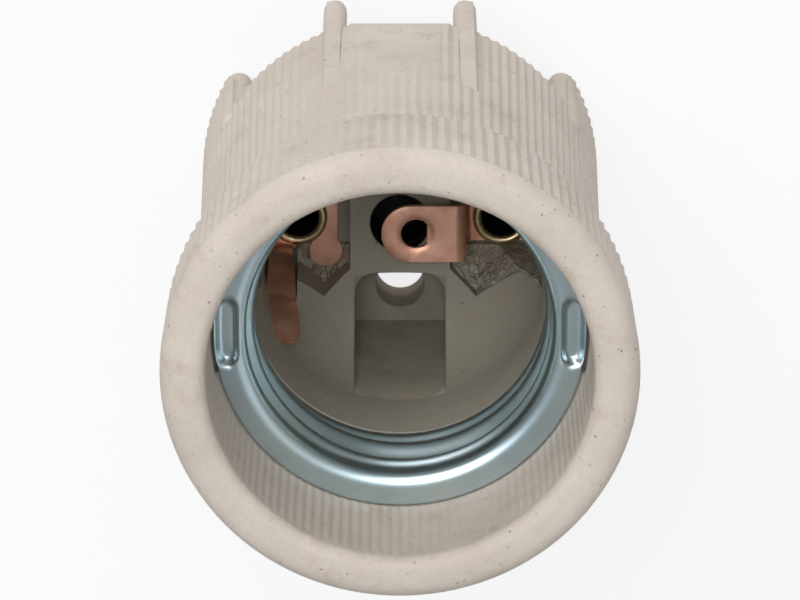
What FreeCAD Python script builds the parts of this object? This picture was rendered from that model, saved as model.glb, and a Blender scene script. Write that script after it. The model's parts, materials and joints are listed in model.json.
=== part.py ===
import FreeCAD, Part
import math
import os
import Sketcher
from FreeCAD import Placement, Rotation, Vector

# Porcelain lamp holder for an E27 screw lamp, in millimetres.
# The holder stands on the feet of its two side walls with its mouth up: +Z points out of the mouth, and the
# origin lies on the lamp's axis at the level of the feet. The side contact is at +X, the centre contact's rivet
# at -X, and the two fixing holes lie on the Y axis.

SIZES = [
    # porcelain outside
    ("total_height", 53.7, "feet to mouth"),
    ("collar_radius", 19.3, "outside of the collar"),
    ("collar_length", 10.4, "mouth to the start of the shoulder"),
    ("shoulder_length", 3.6, "collar to neck"),
    ("neck_radius", 16.9, "outside of the neck, under the shoulder"),
    ("foot_radius", 18.2, "outside of the side walls at their feet"),
    ("outer_lip_share", 0.4, "rounding of the mouth's outer edge, as a share of the skirt's wall"),
    ("inner_lip_share", 0.3, "rounding of the mouth's inner edge, as a share of the skirt's wall"),
    ("lip_overhang", 0.02, "lip beyond the peaks of the flutes"),
    ("flute_count", 118, "flutes round the outside"),
    ("flute_depth", 0.2, "depth of a flute"),
    # porcelain inside
    ("skirt_bore_radius", 15.6, "inside of the skirt"),
    ("seat_depth", 11.2, "mouth to the seat of the shell's flange"),
    ("seat_bevel", 1.3, "bevel of the seat's inner edge"),
    ("shell_bore_radius", 13.85, "bore round the screw shell"),
    ("shell_bore_end", 20.1, "mouth to the ledge below the shell"),
    ("bowl_radius", 12.8, "bowl below the shell"),
    ("bowl_round", 7.0, "curve from the bowl's wall to its floor"),
    ("floor_depth", 38.4, "mouth to the bowl's floor"),
    ("pocket_below_floor", 2.4, "depth of a contact pocket below the bowl's floor"),
    ("pocket_reach_up", 9.3, "height of the cut that a contact pocket makes in the bowl's wall"),
    ("pocket_inner_edge", 4.45, "axis to the straight side of a contact pocket"),
    ("pocket_outer_edge", 12.65, "axis to the far side of a contact pocket"),
    ("pocket_half_width", 5.2, "half the straight side of a contact pocket"),
    ("pocket_outer_half_width", 4.2, "half the far side of a contact pocket"),
    ("pocket_point_across", 6.8, "axis to the point of a contact pocket, along X"),
    ("pocket_point_along", 7.8, "axis to the point of a contact pocket, along Y"),
    ("centre_pocket_radius", 2.65, "blind pocket under the tongue"),
    ("centre_pocket_depth", 4.6, "depth of the blind pocket"),
    # fixing
    ("fixing_spacing", 13.8, "between the two fixing holes"),
    ("fixing_hole_radius", 2.2, "fixing hole"),
    ("channel_half_width", 4.0, "half the channel over a fixing hole"),
    ("channel_start", 4.6, "axis to the near end of a channel"),
    ("channel_floor_end", 9.7, "axis to the far end of a channel's floor"),
    ("channel_below_floor", 3.0, "depth of a channel below the bowl's floor"),
    ("channel_top_depth", 27.0, "mouth to the upper end of a channel's slope"),
    ("channel_corner_round", 1.6, "rounding of a channel's near corners"),
    # rear of the porcelain
    ("base_thickness", 5.7, "contact pockets' floor to the base's rear face"),
    ("rim_above_base", 4.0, "base's rear face to the rear edge of the round wall"),
    ("opening_clearance", 0.5, "what cuts the round wall, beyond the wall's outside"),
    ("side_wall_inner_radius", 15.6, "inside of the side walls"),
    ("side_wall_half_angle", 33.0, "half the arc of a side wall, in degrees"),
    ("lug_below_base", 1.8, "base's rear face to the tip of a lug"),
    ("lug_top_above_base", 19.8, "base's rear face to the upper end of a lug's ridge"),
    ("lug_inner_edge", 5.2, "axis to the inner side of a lug"),
    ("lug_width", 1.35, "width of a lug"),
    ("lug_root", 15.0, "axis to the inside of a lug"),
    ("lug_crest", 17.75, "axis to the outside of a lug at its tip"),
    ("lug_top_crest", 16.3, "axis to the outside of a lug's ridge at its upper end"),
    ("lug_round", 0.5, "rounding of a lug's tip"),
    ("panel_distance", 17.25, "axis to the flat panel between two lugs"),
    # screw shell
    ("shell_sheet", 0.3, "thickness of the shell's steel"),
    ("flange_radius", 15.45, "outside of the flange"),
    ("bend_radius", 1.2, "bend between flange and thread, mouth side"),
    ("thread_pitch", 3.63, "pitch of the rolled thread"),
    ("thread_crest_radius", 12.2, "inside of the thread's crests"),
    ("thread_root_radius", 13.3, "inside of the thread's roots"),
    ("thread_middle_radius", 12.75, "inside of the shell between flange and thread"),
    ("first_crest", 2.35, "flange to the thread's first crest"),
    ("thread_turns", 2, "turns of the rolled thread"),
    ("shell_end_radius", 12.45, "inside of the shell's lower edge"),
    ("shell_length", 9.0, "flange to the shell's lower edge"),
    ("dent_depth", 0.8, "depth of a locking dent"),
    ("dent_distance", 14.3, "axis to the middle of a locking dent"),
    ("dent_half_width", 1.15, "half the width of a locking dent"),
    ("dent_half_length", 3.1, "half the length of a locking dent"),
    ("notch_half_width", 3.6, "half the notch in the porcelain at a dent"),
    ("notch_reach", 16.35, "axis to the far side of a notch"),
    ("notch_below_seat", 1.3, "depth of a notch below the seat"),
    ("notch_above_seat", 1.5, "height of a notch above the seat"),
    # contacts
    ("contact_sheet", 0.5, "thickness of the contacts' copper"),
    ("contact_bend", 0.5, "inside radius of the contacts' bends"),
    ("rivet_distance", 9.1, "axis to a rivet"),
    ("plate_outer_end", 12.2, "axis to the far end of a contact's plate"),
    ("plate_back", 2.6, "axis to the -Y side of a contact's plate"),
    ("plate_front", 2.3, "axis to the +Y side of a contact's plate"),
    ("tongue_height", 5.0, "underside of the plate to underside of the tongue"),
    ("tongue_radius", 2.6, "half the tongue's width and the radius of its end"),
    ("tongue_end_centre", 0.95, "axis to the centre of the tongue's round end"),
    ("riser_distance", 5.4, "axis to the near side of the tongue's riser"),
    ("tongue_hole_centre", 1.4, "axis to the centre of the tongue's hole"),
    ("tongue_hole_radius", 1.2, "round part of the tongue's hole"),
    ("tongue_hole_flat", 0.75, "hole's centre to its flat side"),
    ("tongue_countersink_radius", 1.85, "countersink round the tongue's hole"),
    ("tongue_countersink_depth", 0.2, "depth of the countersink"),
    ("side_plate_inner_end", 5.6, "axis to the near end of the side contact's plate"),
    ("finger_width", 1.1, "width of the side contact's finger"),
    ("lobe_radius", 1.45, "radius of the finger's round end"),
    ("lobe_centre_across", 6.65, "axis to the centre of the finger's end, along X"),
    ("lobe_centre_along", 3.3, "axis to the centre of the finger's end, along Y"),
    ("leaf_width", 2.4, "width of the spring leaf"),
    ("leaf_turn", 25.0, "turn of the leaf towards the axis, in degrees"),
    ("leaf_foot_across", 10.9, "axis to the middle of the leaf's foot, along X"),
    ("leaf_foot_along", 3.05, "axis to the leaf's riser, along Y"),
    ("leaf_foot_length", 0.9, "length of the leaf's foot on the plate"),
    ("leaf_riser_height", 4.8, "height of the leaf's riser"),
    ("leaf_knee_run", 2.1, "riser to the crease of the leaf"),
    ("leaf_knee_height", 8.9, "height of the crease"),
    ("leaf_bend_sheet", 0.4, "thickness of the leaf above its riser, measured upright"),
    ("leaf_knee_sheet", 0.65, "thickness of the leaf at its crease, measured upright"),
    ("leaf_tip_run", 4.75, "riser to the tip of the leaf"),
    ("leaf_tip_height", 13.2, "height of the tip"),
    # rivets
    ("rivet_outer_radius", 2.2, "outside of a rivet's tube"),
    ("rivet_bore_radius", 1.85, "bore of a rivet"),
    ("rivet_head_radius", 2.65, "outside of a rivet's rolled head"),
    ("rivet_head_height", 0.7, "height of a rolled head"),
    ("rivet_clearance", 0.06, "rivet to the holes that it passes"),
    # terminals
    ("terminal_sheet", 1.0, "thickness of a terminal plate"),
    ("terminal_half_width", 3.0, "half the width of a terminal plate"),
    ("terminal_back", 3.1, "rivet to the near end of a terminal plate"),
    ("terminal_front", 9.2, "rivet to the far end of a terminal plate"),
    ("screw_offset", 6.2, "rivet to screw"),
    ("screw_shank_radius", 1.75, "shank of a terminal screw"),
    ("screw_head_radius", 2.8, "head of a terminal screw"),
    ("screw_head_height", 2.1, "height of a screw's head"),
    ("screw_end_clearance", 0.85, "end of a screw's relief to the screw's end"),
    ("screw_slot_width", 0.8, "width of a screw's slot"),
    ("screw_slot_depth", 1.0, "depth of a screw's slot"),
    ("screw_edge_round", 0.3, "rounding of a screw's head"),
    ("screw_clearance", 0.06, "screw to its tapped hole and to its washer"),
    ("screw_relief_radius", 2.1, "blind hole in the base for a screw's end"),
    ("screw_relief_wall", 1.7, "contact pocket's floor to the end of that hole"),
    ("washer_half_width", 2.95, "half the side of a clamp washer"),
    ("washer_sheet", 0.8, "thickness of a clamp washer"),
    ("washer_gap", 0.05, "washer to terminal plate with no wire"),
    ("washer_corner", 0.6, "corner bevel of a clamp washer and of a terminal plate"),
    # cement
    ("cement_height", 0.9, "height of the sealing cement"),
    ("cement_clearance", 0.08, "cement to the pocket's sides and to the contacts"),
    ("cement_point_clearance", 0.24, "cement to the pocket's point"),
    ("cement_outer_edge", 10.3, "axis to the far end of the cement beside the centre contact"),
    ("cement_by_leaf", 9.4, "axis to the far end of the cement beside the spring leaf"),
]


class Size:
    """A number that carries its formula in terms of the spreadsheet's cells."""

    def __init__(self, value, formula):
        self.value = float(value)
        self.formula = formula

    def combine(self, other, sign, value):
        return Size(value, "(%s %s %s)" % (self.formula, sign, as_size(other).formula))

    def __add__(self, other):
        return self.combine(other, "+", self.value + as_size(other).value)

    def __sub__(self, other):
        return self.combine(other, "-", self.value - as_size(other).value)

    def __mul__(self, other):
        return self.combine(other, "*", self.value * as_size(other).value)

    def __truediv__(self, other):
        return self.combine(other, "/", self.value / as_size(other).value)

    def __neg__(self):
        return self * -1


def as_size(number):
    return number if isinstance(number, Size) else Size(number, "(%s)" % float(number))


doc = FreeCAD.newDocument("lamp_holder")
sheet = doc.addObject("Spreadsheet::Sheet", "sizes")
for row, (alias, value, meaning) in enumerate(SIZES, start=1):
    sheet.set("A%d" % row, alias)
    sheet.set("B%d" % row, str(value))
    sheet.set("C%d" % row, meaning)
    sheet.setAlias("B%d" % row, alias)
doc.recompute()


class Sizes:
    """The spreadsheet's cells by name."""

    def __getattr__(self, alias):
        return Size(sheet.get(alias), "sizes." + alias)


size = Sizes()
mouth = size.total_height
ZERO = Size(0, "0")


def bind(thing, path, length):
    """Gives a property its formula."""
    thing.setExpression(path, as_size(length).formula)


def origin_plane(body, role):
    return next(plane for plane in body.Origin.OriginFeatures if plane.Role == role)


def new_sketch(body, name, role, offset):
    """A sketch on one of the body's own planes, moved along the plane's normal by the offset."""
    sketch = body.newObject("Sketcher::SketchObject", name)
    sketch.AttachmentSupport = (origin_plane(body, role), [""])
    sketch.MapMode = "FlatFace"
    bind(sketch, "AttachmentOffset.Base.z", offset)
    return sketch


def dimension(sketch, kind, places, length):
    """One dimension of a sketch, bound to its formula."""
    index = sketch.addConstraint(Sketcher.Constraint(kind, *places, length.value))
    bind(sketch, "Constraints[%d]" % index, length)


def outline(body, name, role, corners, offset=0, arcs=None):
    """A closed outline whose corners (across, up) and arc centres are bound to sizes.

    arcs maps a corner's number to the centre of the arc from it to the next corner, and to +1 or -1 for an arc
    that turns left or right.
    """
    arcs = arcs or {}
    sketch = new_sketch(body, name, role, offset)
    corners = [(as_size(across), as_size(up)) for across, up in corners]
    places = [Vector(across.value, up.value, 0) for across, up in corners]
    count = len(places)
    ends = []
    for number, start in enumerate(places):
        end = places[(number + 1) % count]
        if number in arcs:
            across, up, side = arcs[number]
            edge, start_end = arc_edge(start, end, Vector(across.value, up.value, 0), side)
            sketch.addGeometry(edge)
            ends.append(start_end)
        else:
            sketch.addGeometry(Part.LineSegment(start, end))
            ends.append((1, 2))
    for number in range(count):
        after = (number + 1) % count
        sketch.addConstraint(Sketcher.Constraint("Coincident", number, ends[number][1], after, ends[after][0]))
    for number, (across, up) in enumerate(corners):
        dimension(sketch, "DistanceX", (-1, 1, number, ends[number][0]), across)
        dimension(sketch, "DistanceY", (-1, 1, number, ends[number][0]), up)
    for number, (across, up, side) in arcs.items():
        chord = places[(number + 1) % count] - places[number]
        if abs(chord.x) > abs(chord.y):
            dimension(sketch, "DistanceY", (-1, 1, number, 3), up)
        else:
            dimension(sketch, "DistanceX", (-1, 1, number, 3), across)
    return sketch


def arc_edge(start, end, centre, side):
    """The arc about a centre from start to end, and the numbers of its ends in travel order."""
    circle = Part.Circle(centre, Vector(0, 0, 1), (start - centre).Length)
    first = math.atan2((start - centre).y, (start - centre).x)
    last = math.atan2((end - centre).y, (end - centre).x)
    if side > 0:
        return Part.ArcOfCircle(circle, first, last if last > first else last + 2 * math.pi), (1, 2)
    return Part.ArcOfCircle(circle, last, first if first > last else first + 2 * math.pi), (2, 1)


def circles(body, name, level, radius, centres):
    """Circles of one radius on a level plane."""
    sketch = new_sketch(body, name, "XY_Plane", level)
    for number, (across, along) in enumerate(centres):
        across, along = as_size(across), as_size(along)
        centre = Vector(across.value, along.value, 0)
        sketch.addGeometry(Part.Circle(centre, Vector(0, 0, 1), radius.value))
        dimension(sketch, "Radius", (number,), radius)
        dimension(sketch, "DistanceX", (-1, 1, number, 3), across)
        dimension(sketch, "DistanceY", (-1, 1, number, 3), along)
    return sketch


def new_body(name):
    body = doc.addObject("PartDesign::Body", name)
    body.Label = name
    return body


def revolve(body, name, sketch):
    feature = body.newObject("PartDesign::Revolution", name)
    feature.Profile = sketch
    feature.ReferenceAxis = (sketch, ["V_Axis"])
    feature.Angle = 360
    return feature


def pad(body, name, sketch, length):
    feature = body.newObject("PartDesign::Pad", name)
    feature.Profile = sketch
    bind(feature, "Length", length)
    return feature


def pocket(body, name, sketch, length, forward=False):
    """Cuts against the sketch's normal, or along it when forward."""
    feature = body.newObject("PartDesign::Pocket", name)
    feature.Profile = sketch
    feature.Reversed = forward
    bind(feature, "Length", length)
    return feature


def round_edges(body, name, base, wanted, radius):
    """Rounds the edges of a feature that the test picks."""
    body.recompute(True)
    picked = ["Edge%d" % number for number, edge in enumerate(base.Shape.Edges, start=1) if wanted(edge)]
    feature = body.newObject("PartDesign::Fillet", name)
    feature.Base = (base, picked)
    bind(feature, "Radius", radius)
    return feature


def near(first, second):
    return abs(first - second) < 1e-4


def boolean(kind, name, base, tool):
    """Part::Cut, Part::Fuse or Part::Common of two objects."""
    feature = doc.addObject(kind, name)
    feature.Base = base
    feature.Tool = tool
    return feature


def cylinder(name, radius, height, level, across=0, along=0):
    part = doc.addObject("Part::Cylinder", name)
    bind(part, "Radius", radius)
    bind(part, "Height", height)
    bind(part, "Placement.Base.x", across)
    bind(part, "Placement.Base.y", along)
    bind(part, "Placement.Base.z", level)
    return part


# ---------------------------------------------------------------------------------------------- ceramic body

def level_at(depth):
    """Height above the feet of a place that is given by its depth below the mouth."""
    return mouth - depth


bowl_floor = level_at(size.floor_depth)
pocket_floor = bowl_floor - size.pocket_below_floor
base_level = pocket_floor - size.base_thickness
rim_level = base_level + size.rim_above_base
relief_end = pocket_floor - size.screw_relief_wall
skirt_wall = size.collar_radius - size.skirt_bore_radius
outer_lip = skirt_wall * size.outer_lip_share
inner_lip = skirt_wall * size.inner_lip_share


LIP_FLAT_COUNT = 3
BOWL_FLAT_COUNT = 5
BEND_FLAT_COUNT = 2


def bevels(centre, radius, first, last, flats):
    """Corners of a rounding made of short flats about the centre, between two angles in degrees."""
    corners = []
    for number in range(flats + 1):
        angle = math.radians(first + (last - first) * number / flats)
        across = round(math.cos(angle), 6)
        up = round(math.sin(angle), 6)
        corners.append((centre[0] + radius * across, centre[1] + radius * up))
    return corners


def build_lip():
    """The smooth rounded lip of the mouth, above the flutes."""
    body = new_body("lip")
    outside = size.collar_radius + size.lip_overhang
    level = mouth - outer_lip
    rounded_outside = bevels((outside - outer_lip, level), outer_lip, 0, 90, LIP_FLAT_COUNT)
    rounded_inside = bevels((size.skirt_bore_radius + inner_lip, mouth - inner_lip), inner_lip, 90, 180, LIP_FLAT_COUNT)
    section = outline(body, "lip_section", "XZ_Plane",
                      [(size.skirt_bore_radius, level)] + rounded_outside + rounded_inside)
    revolve(body, "lip_form", section)
    return body


def build_hollow():
    """The whole hollow of the porcelain as one solid form: skirt, shell bore, bowl, pockets and holes."""
    body = new_body("hollow")
    seat = level_at(size.seat_depth)
    ledge = level_at(size.shell_bore_end)
    curve_centre = (size.bowl_radius - size.bowl_round, bowl_floor + size.bowl_round)
    section = outline(body, "hollow_section", "XZ_Plane", [
        (0, bowl_floor),
    ] + bevels(curve_centre, size.bowl_round, -90, 0, BOWL_FLAT_COUNT) + [
        (size.bowl_radius, ledge),
        (size.shell_bore_radius, ledge),
        (size.shell_bore_radius, seat - size.seat_bevel),
        (size.shell_bore_radius + size.seat_bevel, seat),
        (size.skirt_bore_radius, seat),
        (size.skirt_bore_radius, mouth),
        (0, mouth),
    ])
    revolve(body, "hollow_form", section)
    for side in (1, -1):
        add_contact_pocket(body, side)
    add_notches(body)
    add_holes(body)
    return body


def add_contact_pocket(body, side):
    """The pocket of one contact's plate, pointed at both ends."""
    name = "pocket_%s" % ("side" if side > 0 else "centre")
    corners = [
        (size.pocket_inner_edge, -size.pocket_half_width),
        (size.pocket_point_across, -size.pocket_point_along),
        (size.pocket_outer_edge, -size.pocket_outer_half_width),
        (size.pocket_outer_edge, size.pocket_outer_half_width),
        (size.pocket_point_across, size.pocket_point_along),
        (size.pocket_inner_edge, size.pocket_half_width),
    ]
    sketch = outline(body, name + "_plan", "XY_Plane", [(across * side, along) for across, along in corners],
                     offset=pocket_floor)
    pad(body, name, sketch, size.pocket_reach_up)


def build_channel(side):
    """The channel over one fixing hole: a floor, then a slope up the bowl's wall."""
    name = "channel_%s" % ("front" if side > 0 else "back")
    body = new_body(name)
    floor = bowl_floor - size.channel_below_floor
    top = level_at(size.channel_top_depth)
    corners = [
        (size.channel_start, floor),
        (size.channel_floor_end, floor),
        (size.bowl_radius, top),
        (size.channel_start, top),
    ]
    sketch = outline(body, name + "_side", "YZ_Plane", [(along * side, up) for along, up in corners],
                     offset=-size.channel_half_width)
    solid = pad(body, name + "_block", sketch, size.channel_half_width * 2)

    def near_corner(edge):
        box = edge.BoundBox
        upright = near(box.XLength, 0) and near(box.YLength, 0)
        return upright and near(box.YMin, size.channel_start.value * side)

    round_edges(body, name + "_corners", solid, near_corner, size.channel_corner_round)
    return body


def add_notches(body):
    """Notches in the skirt for the shell's two locking dents."""
    bottom = level_at(size.seat_depth) - size.notch_below_seat
    for side in (1, -1):
        name = "notch_%s" % ("right" if side > 0 else "left")
        inner = size.shell_bore_radius - size.seat_bevel
        corners = [
            (inner * side, -size.notch_half_width),
            (size.notch_reach * side, -size.notch_half_width),
            (size.notch_reach * side, size.notch_half_width),
            (inner * side, size.notch_half_width),
        ]
        sketch = outline(body, name + "_plan", "XY_Plane", corners, offset=bottom)
        pad(body, name, sketch, size.notch_below_seat + size.notch_above_seat)


def add_holes(body):
    """The blind pocket, the fixing holes and the rivet holes."""
    centre_bottom = bowl_floor - size.centre_pocket_depth
    centre = circles(body, "centre_pocket_plan", centre_bottom, size.centre_pocket_radius, [(0, 0)])
    pad(body, "centre_pocket", centre, size.centre_pocket_depth)
    fixing = circles(body, "fixing_plan", base_level, size.fixing_hole_radius,
                     [(0, size.fixing_spacing / 2), (0, -size.fixing_spacing / 2)])
    pad(body, "fixing_holes", fixing, bowl_floor - base_level)
    rivets = circles(body, "rivet_plan", base_level, size.rivet_outer_radius + size.rivet_clearance,
                     [(size.rivet_distance, 0), (-size.rivet_distance, 0)])
    pad(body, "rivet_holes", rivets, bowl_floor - base_level)


def build_rear_hollow():
    """The space between the side walls, with the reliefs for the ends of the terminal screws."""
    body = new_body("rear_hollow")
    disc = circles(body, "rear_plan", ZERO, size.side_wall_inner_radius, [(0, 0)])
    pad(body, "rear_space", disc, base_level)
    reliefs = circles(body, "relief_plan", base_level, size.screw_relief_radius,
                      [(size.rivet_distance, -size.screw_offset), (-size.rivet_distance, size.screw_offset)])
    pad(body, "screw_reliefs", reliefs, relief_end - base_level)
    return body


def flute_ring(radius, level):
    """The corners of a zigzag of flutes round the axis, its peaks on the radius."""
    step = math.pi / size.flute_count.value
    valley = radius.value * (1 - size.flute_depth.value / size.collar_radius.value)
    corners = []
    for number in range(2 * int(size.flute_count.value)):
        reach = valley if number % 2 else radius.value
        corners.append(Vector(reach * math.cos(number * step), reach * math.sin(number * step), level.value))
    return corners


def fluted_form():
    """The outer form of the porcelain as one solid block with flat-sided flutes, up to its lip."""
    shoulder = mouth - size.collar_length
    sections = [
        (size.foot_radius, ZERO),
        (size.neck_radius, shoulder - size.shoulder_length),
        (size.collar_radius, shoulder),
        (size.collar_radius, mouth - outer_lip),
    ]
    rings = [flute_ring(radius, level) for radius, level in sections]
    faces = [Part.Face(Part.makePolygon(ring + ring[:1])) for ring in (rings[0], rings[-1])]
    for lower, upper in zip(rings, rings[1:]):
        for number in range(len(lower)):
            after = (number + 1) % len(lower)
            corners = [lower[number], lower[after], upper[after], upper[number]]
            faces.append(Part.Face(Part.makePolygon(corners + corners[:1])))
    shell = Part.makeShell(faces)
    shell.sewShape()
    feature = doc.addObject("Part::Feature", "fluted_outside")
    feature.Shape = Part.makeSolid(shell)
    return feature


def rear_opening(number):
    """The part of the round wall that is missing between the side walls, on one side of the holder."""
    outside = size.foot_radius + size.opening_clearance
    sector = cylinder("opening_sector_%d" % number, outside, rim_level, 0)
    sector.Placement.Rotation = Rotation(Vector(0, 0, 1), 1)
    bind(sector, "Angle", size.side_wall_half_angle * -2 + 180)
    bind(sector, "Placement.Rotation.Angle", size.side_wall_half_angle + 180 * number)
    core = cylinder("opening_core_%d" % number, size.side_wall_inner_radius, rim_level, 0)
    return boolean("Part::Cut", "opening_%d" % number, sector, core)


def lug(name, across_side, along_side):
    """A narrow rib on the neck that ends in a lug below the round wall's edge."""
    body = new_body(name)
    tip = base_level - size.lug_below_base
    top = base_level + size.lug_top_above_base
    corners = [
        (size.lug_root, tip),
        (size.lug_crest, tip),
        (size.lug_top_crest, top),
        (size.lug_root, top),
    ]
    start = size.lug_inner_edge if across_side > 0 else -(size.lug_inner_edge + size.lug_width)
    sketch = outline(body, name + "_side", "YZ_Plane", [(along * along_side, up) for along, up in corners],
                     offset=start)
    solid = pad(body, name + "_rib", sketch, size.lug_width)

    def across_tip(edge):
        box = edge.BoundBox
        return near(box.YMin, size.lug_crest.value * along_side) and near(box.ZMax, tip.value)

    round_edges(body, name + "_round", solid, across_tip, size.lug_round)
    return body


def panel_cut(name, along_side):
    """What is cut off the round wall to leave the flat panel between two lugs."""
    block = doc.addObject("Part::Box", name)
    bind(block, "Length", size.lug_inner_edge * 2)
    depth = size.foot_radius + size.opening_clearance - size.panel_distance
    bind(block, "Width", depth)
    bind(block, "Height", base_level + size.lug_top_above_base)
    bind(block, "Placement.Base.x", -size.lug_inner_edge)
    near_side = size.panel_distance if along_side > 0 else -size.panel_distance - depth
    bind(block, "Placement.Base.y", near_side)
    return block


def build_ceramic_body():
    cuts = doc.addObject("Part::MultiFuse", "porcelain_cuts")
    cuts.Shapes = [build_hollow(), build_channel(1), build_channel(-1), build_rear_hollow(), rear_opening(0), rear_opening(1),
                   panel_cut("panel_front", 1), panel_cut("panel_back", -1)]
    hollowed = boolean("Part::Cut", "hollowed_porcelain", fluted_form(), cuts)
    lugs = [lug("lug_%s_%s" % (across, along), x, y) for across, x in (("right", 1), ("left", -1))
            for along, y in (("front", 1), ("back", -1))]
    whole = doc.addObject("Part::MultiFuse", "ceramic_body")
    whole.Shapes = [hollowed, build_lip()] + lugs
    return whole


# ---------------------------------------------------------------------------------------------- screw shell

def shell_side(inset):
    """One side of the shell's section from the flange's edge to the lower edge, moved out by the inset."""
    top = level_at(size.seat_depth) + size.shell_sheet
    bend_centre = (size.thread_middle_radius + size.bend_radius, top - size.bend_radius)
    corners = [(size.flange_radius, top - inset)]
    corners += bevels(bend_centre, size.bend_radius - inset, 90, 180, BEND_FLAT_COUNT)
    for turn in range(int(size.thread_turns.value)):
        crest = top - size.first_crest - size.thread_pitch * turn
        corners.append((size.thread_crest_radius + inset, crest))
        corners.append((size.thread_root_radius + inset, crest - size.thread_pitch / 2))
    corners.append((size.shell_end_radius + inset, top - size.shell_length))
    return corners


def locking_dent(name, side, inset, top, depth):
    """A capsule-shaped block at a locking dent, drawn in from the dent's outline by the inset."""
    body = new_body(name)
    across = size.dent_distance * side
    half = size.dent_half_width - inset
    straight = size.dent_half_length - size.dent_half_width
    sketch = outline(body, name + "_plan", "XY_Plane", [
        (across - half, -straight),
        (across + half, -straight),
        (across + half, straight),
        (across - half, straight),
    ], offset=top - depth, arcs={0: (across, -straight, 1), 2: (across, straight, 1)})
    pad(body, name + "_block", sketch, depth)
    return body


def build_screw_shell():
    """The screw shell: one sheet with a flange, two pressed locking dents, a bend and a rolled thread."""
    body = new_body("shell_sheet_form")
    top = level_at(size.seat_depth) + size.shell_sheet
    section = outline(body, "shell_section", "XZ_Plane",
                      shell_side(ZERO) + shell_side(size.shell_sheet)[::-1])
    revolve(body, "shell_form", section)
    pressed = doc.addObject("Part::MultiFuse", "shell_with_dents")
    sides = (("right", 1), ("left", -1))
    pressed.Shapes = [body] + [locking_dent("dent_%s" % name, side, ZERO, top, size.dent_depth + size.shell_sheet)
                               for name, side in sides]
    hollows = doc.addObject("Part::MultiFuse", "dent_hollows")
    hollows.Shapes = [locking_dent("dent_hollow_%s" % name, side, size.shell_sheet, top, size.dent_depth)
                      for name, side in sides]
    return boolean("Part::Cut", "screw_shell", pressed, hollows)


# ---------------------------------------------------------------------------------------------- contacts

def build_centre_contact():
    """A copper strip: plate under the rivet, riser, and a tongue with a round end and a D-shaped hole."""
    sheet_gap = size.contact_sheet
    foot = pocket_floor
    tongue = foot + size.tongue_height
    tip = size.tongue_end_centre * -1 + size.tongue_radius
    riser = -size.riser_distance
    strip = new_body("centre_strip")
    side = outline(strip, "centre_strip_side", "XZ_Plane", [
        (-size.plate_outer_end, foot),
        (riser, foot),
        (riser, tongue),
        (tip, tongue),
        (tip, tongue + sheet_gap),
        (riser - sheet_gap, tongue + sheet_gap),
        (riser - sheet_gap, foot + sheet_gap),
        (-size.plate_outer_end, foot + sheet_gap),
    ], offset=-size.tongue_radius)
    strip_pad = pad(strip, "centre_strip_pad", side, size.tongue_radius * 2)

    def bend_edge(places):
        def wanted(edge):
            box = edge.BoundBox
            along = near(box.XLength, 0) and near(box.ZLength, 0)
            return along and any(near(box.XMin, x.value) and near(box.ZMin, z.value) for x, z in places)
        return wanted

    inside = [(riser, tongue), (riser - sheet_gap, foot + sheet_gap)]
    outside = [(riser, foot), (riser - sheet_gap, tongue + sheet_gap)]
    inner = round_edges(strip, "inner_bends", strip_pad, bend_edge(inside), size.contact_bend)
    round_edges(strip, "outer_bends", inner, bend_edge(outside), size.contact_bend + sheet_gap)
    plan = new_body("centre_strip_plan")
    plan_sketch = outline(plan, "centre_plan", "XY_Plane", [
        (-size.plate_outer_end, -size.plate_back),
        (-size.tongue_end_centre, -size.tongue_radius),
        (-size.tongue_end_centre, size.tongue_radius),
        (riser, size.tongue_radius),
        (riser - sheet_gap * 2, size.plate_front),
        (-size.plate_outer_end, size.plate_front),
    ], offset=foot, arcs={1: (-size.tongue_end_centre, ZERO, 1)})
    pad(plan, "centre_plan_pad", plan_sketch, size.tongue_height * 2)
    shaped = boolean("Part::Common", "centre_shaped", strip, plan)
    hole = new_body("tongue_hole")
    flat = size.tongue_hole_flat
    half = size.tongue_hole_radius
    centre = -size.tongue_hole_centre
    hole_sketch = outline(hole, "tongue_hole_plan", "XY_Plane", [
        (centre - flat, -half),
        (centre, -half),
        (centre, half),
        (centre - flat, half),
    ], offset=tongue - sheet_gap, arcs={1: (centre, ZERO, 1)})
    pad(hole, "tongue_hole_pad", hole_sketch, sheet_gap * 3)
    sink = doc.addObject("Part::Cone", "tongue_countersink")
    bind(sink, "Radius1", half)
    bind(sink, "Radius2", size.tongue_countersink_radius)
    bind(sink, "Height", size.tongue_countersink_depth)
    bind(sink, "Placement.Base.x", centre)
    bind(sink, "Placement.Base.z", tongue + sheet_gap - size.tongue_countersink_depth)
    rivet = rivet_hole("centre_contact", -1, foot, sheet_gap)
    cuts = doc.addObject("Part::MultiFuse", "centre_contact_cuts")
    cuts.Shapes = [hole, sink, rivet]
    return boolean("Part::Cut", "centre_contact", shaped, cuts)


def rivet_hole(name, side, level, thickness):
    """The hole of a rivet in a plate that lies on the level."""
    radius = size.rivet_outer_radius + size.rivet_clearance
    return cylinder(name + "_rivet_hole", radius, thickness, level, size.rivet_distance * side)


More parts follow.
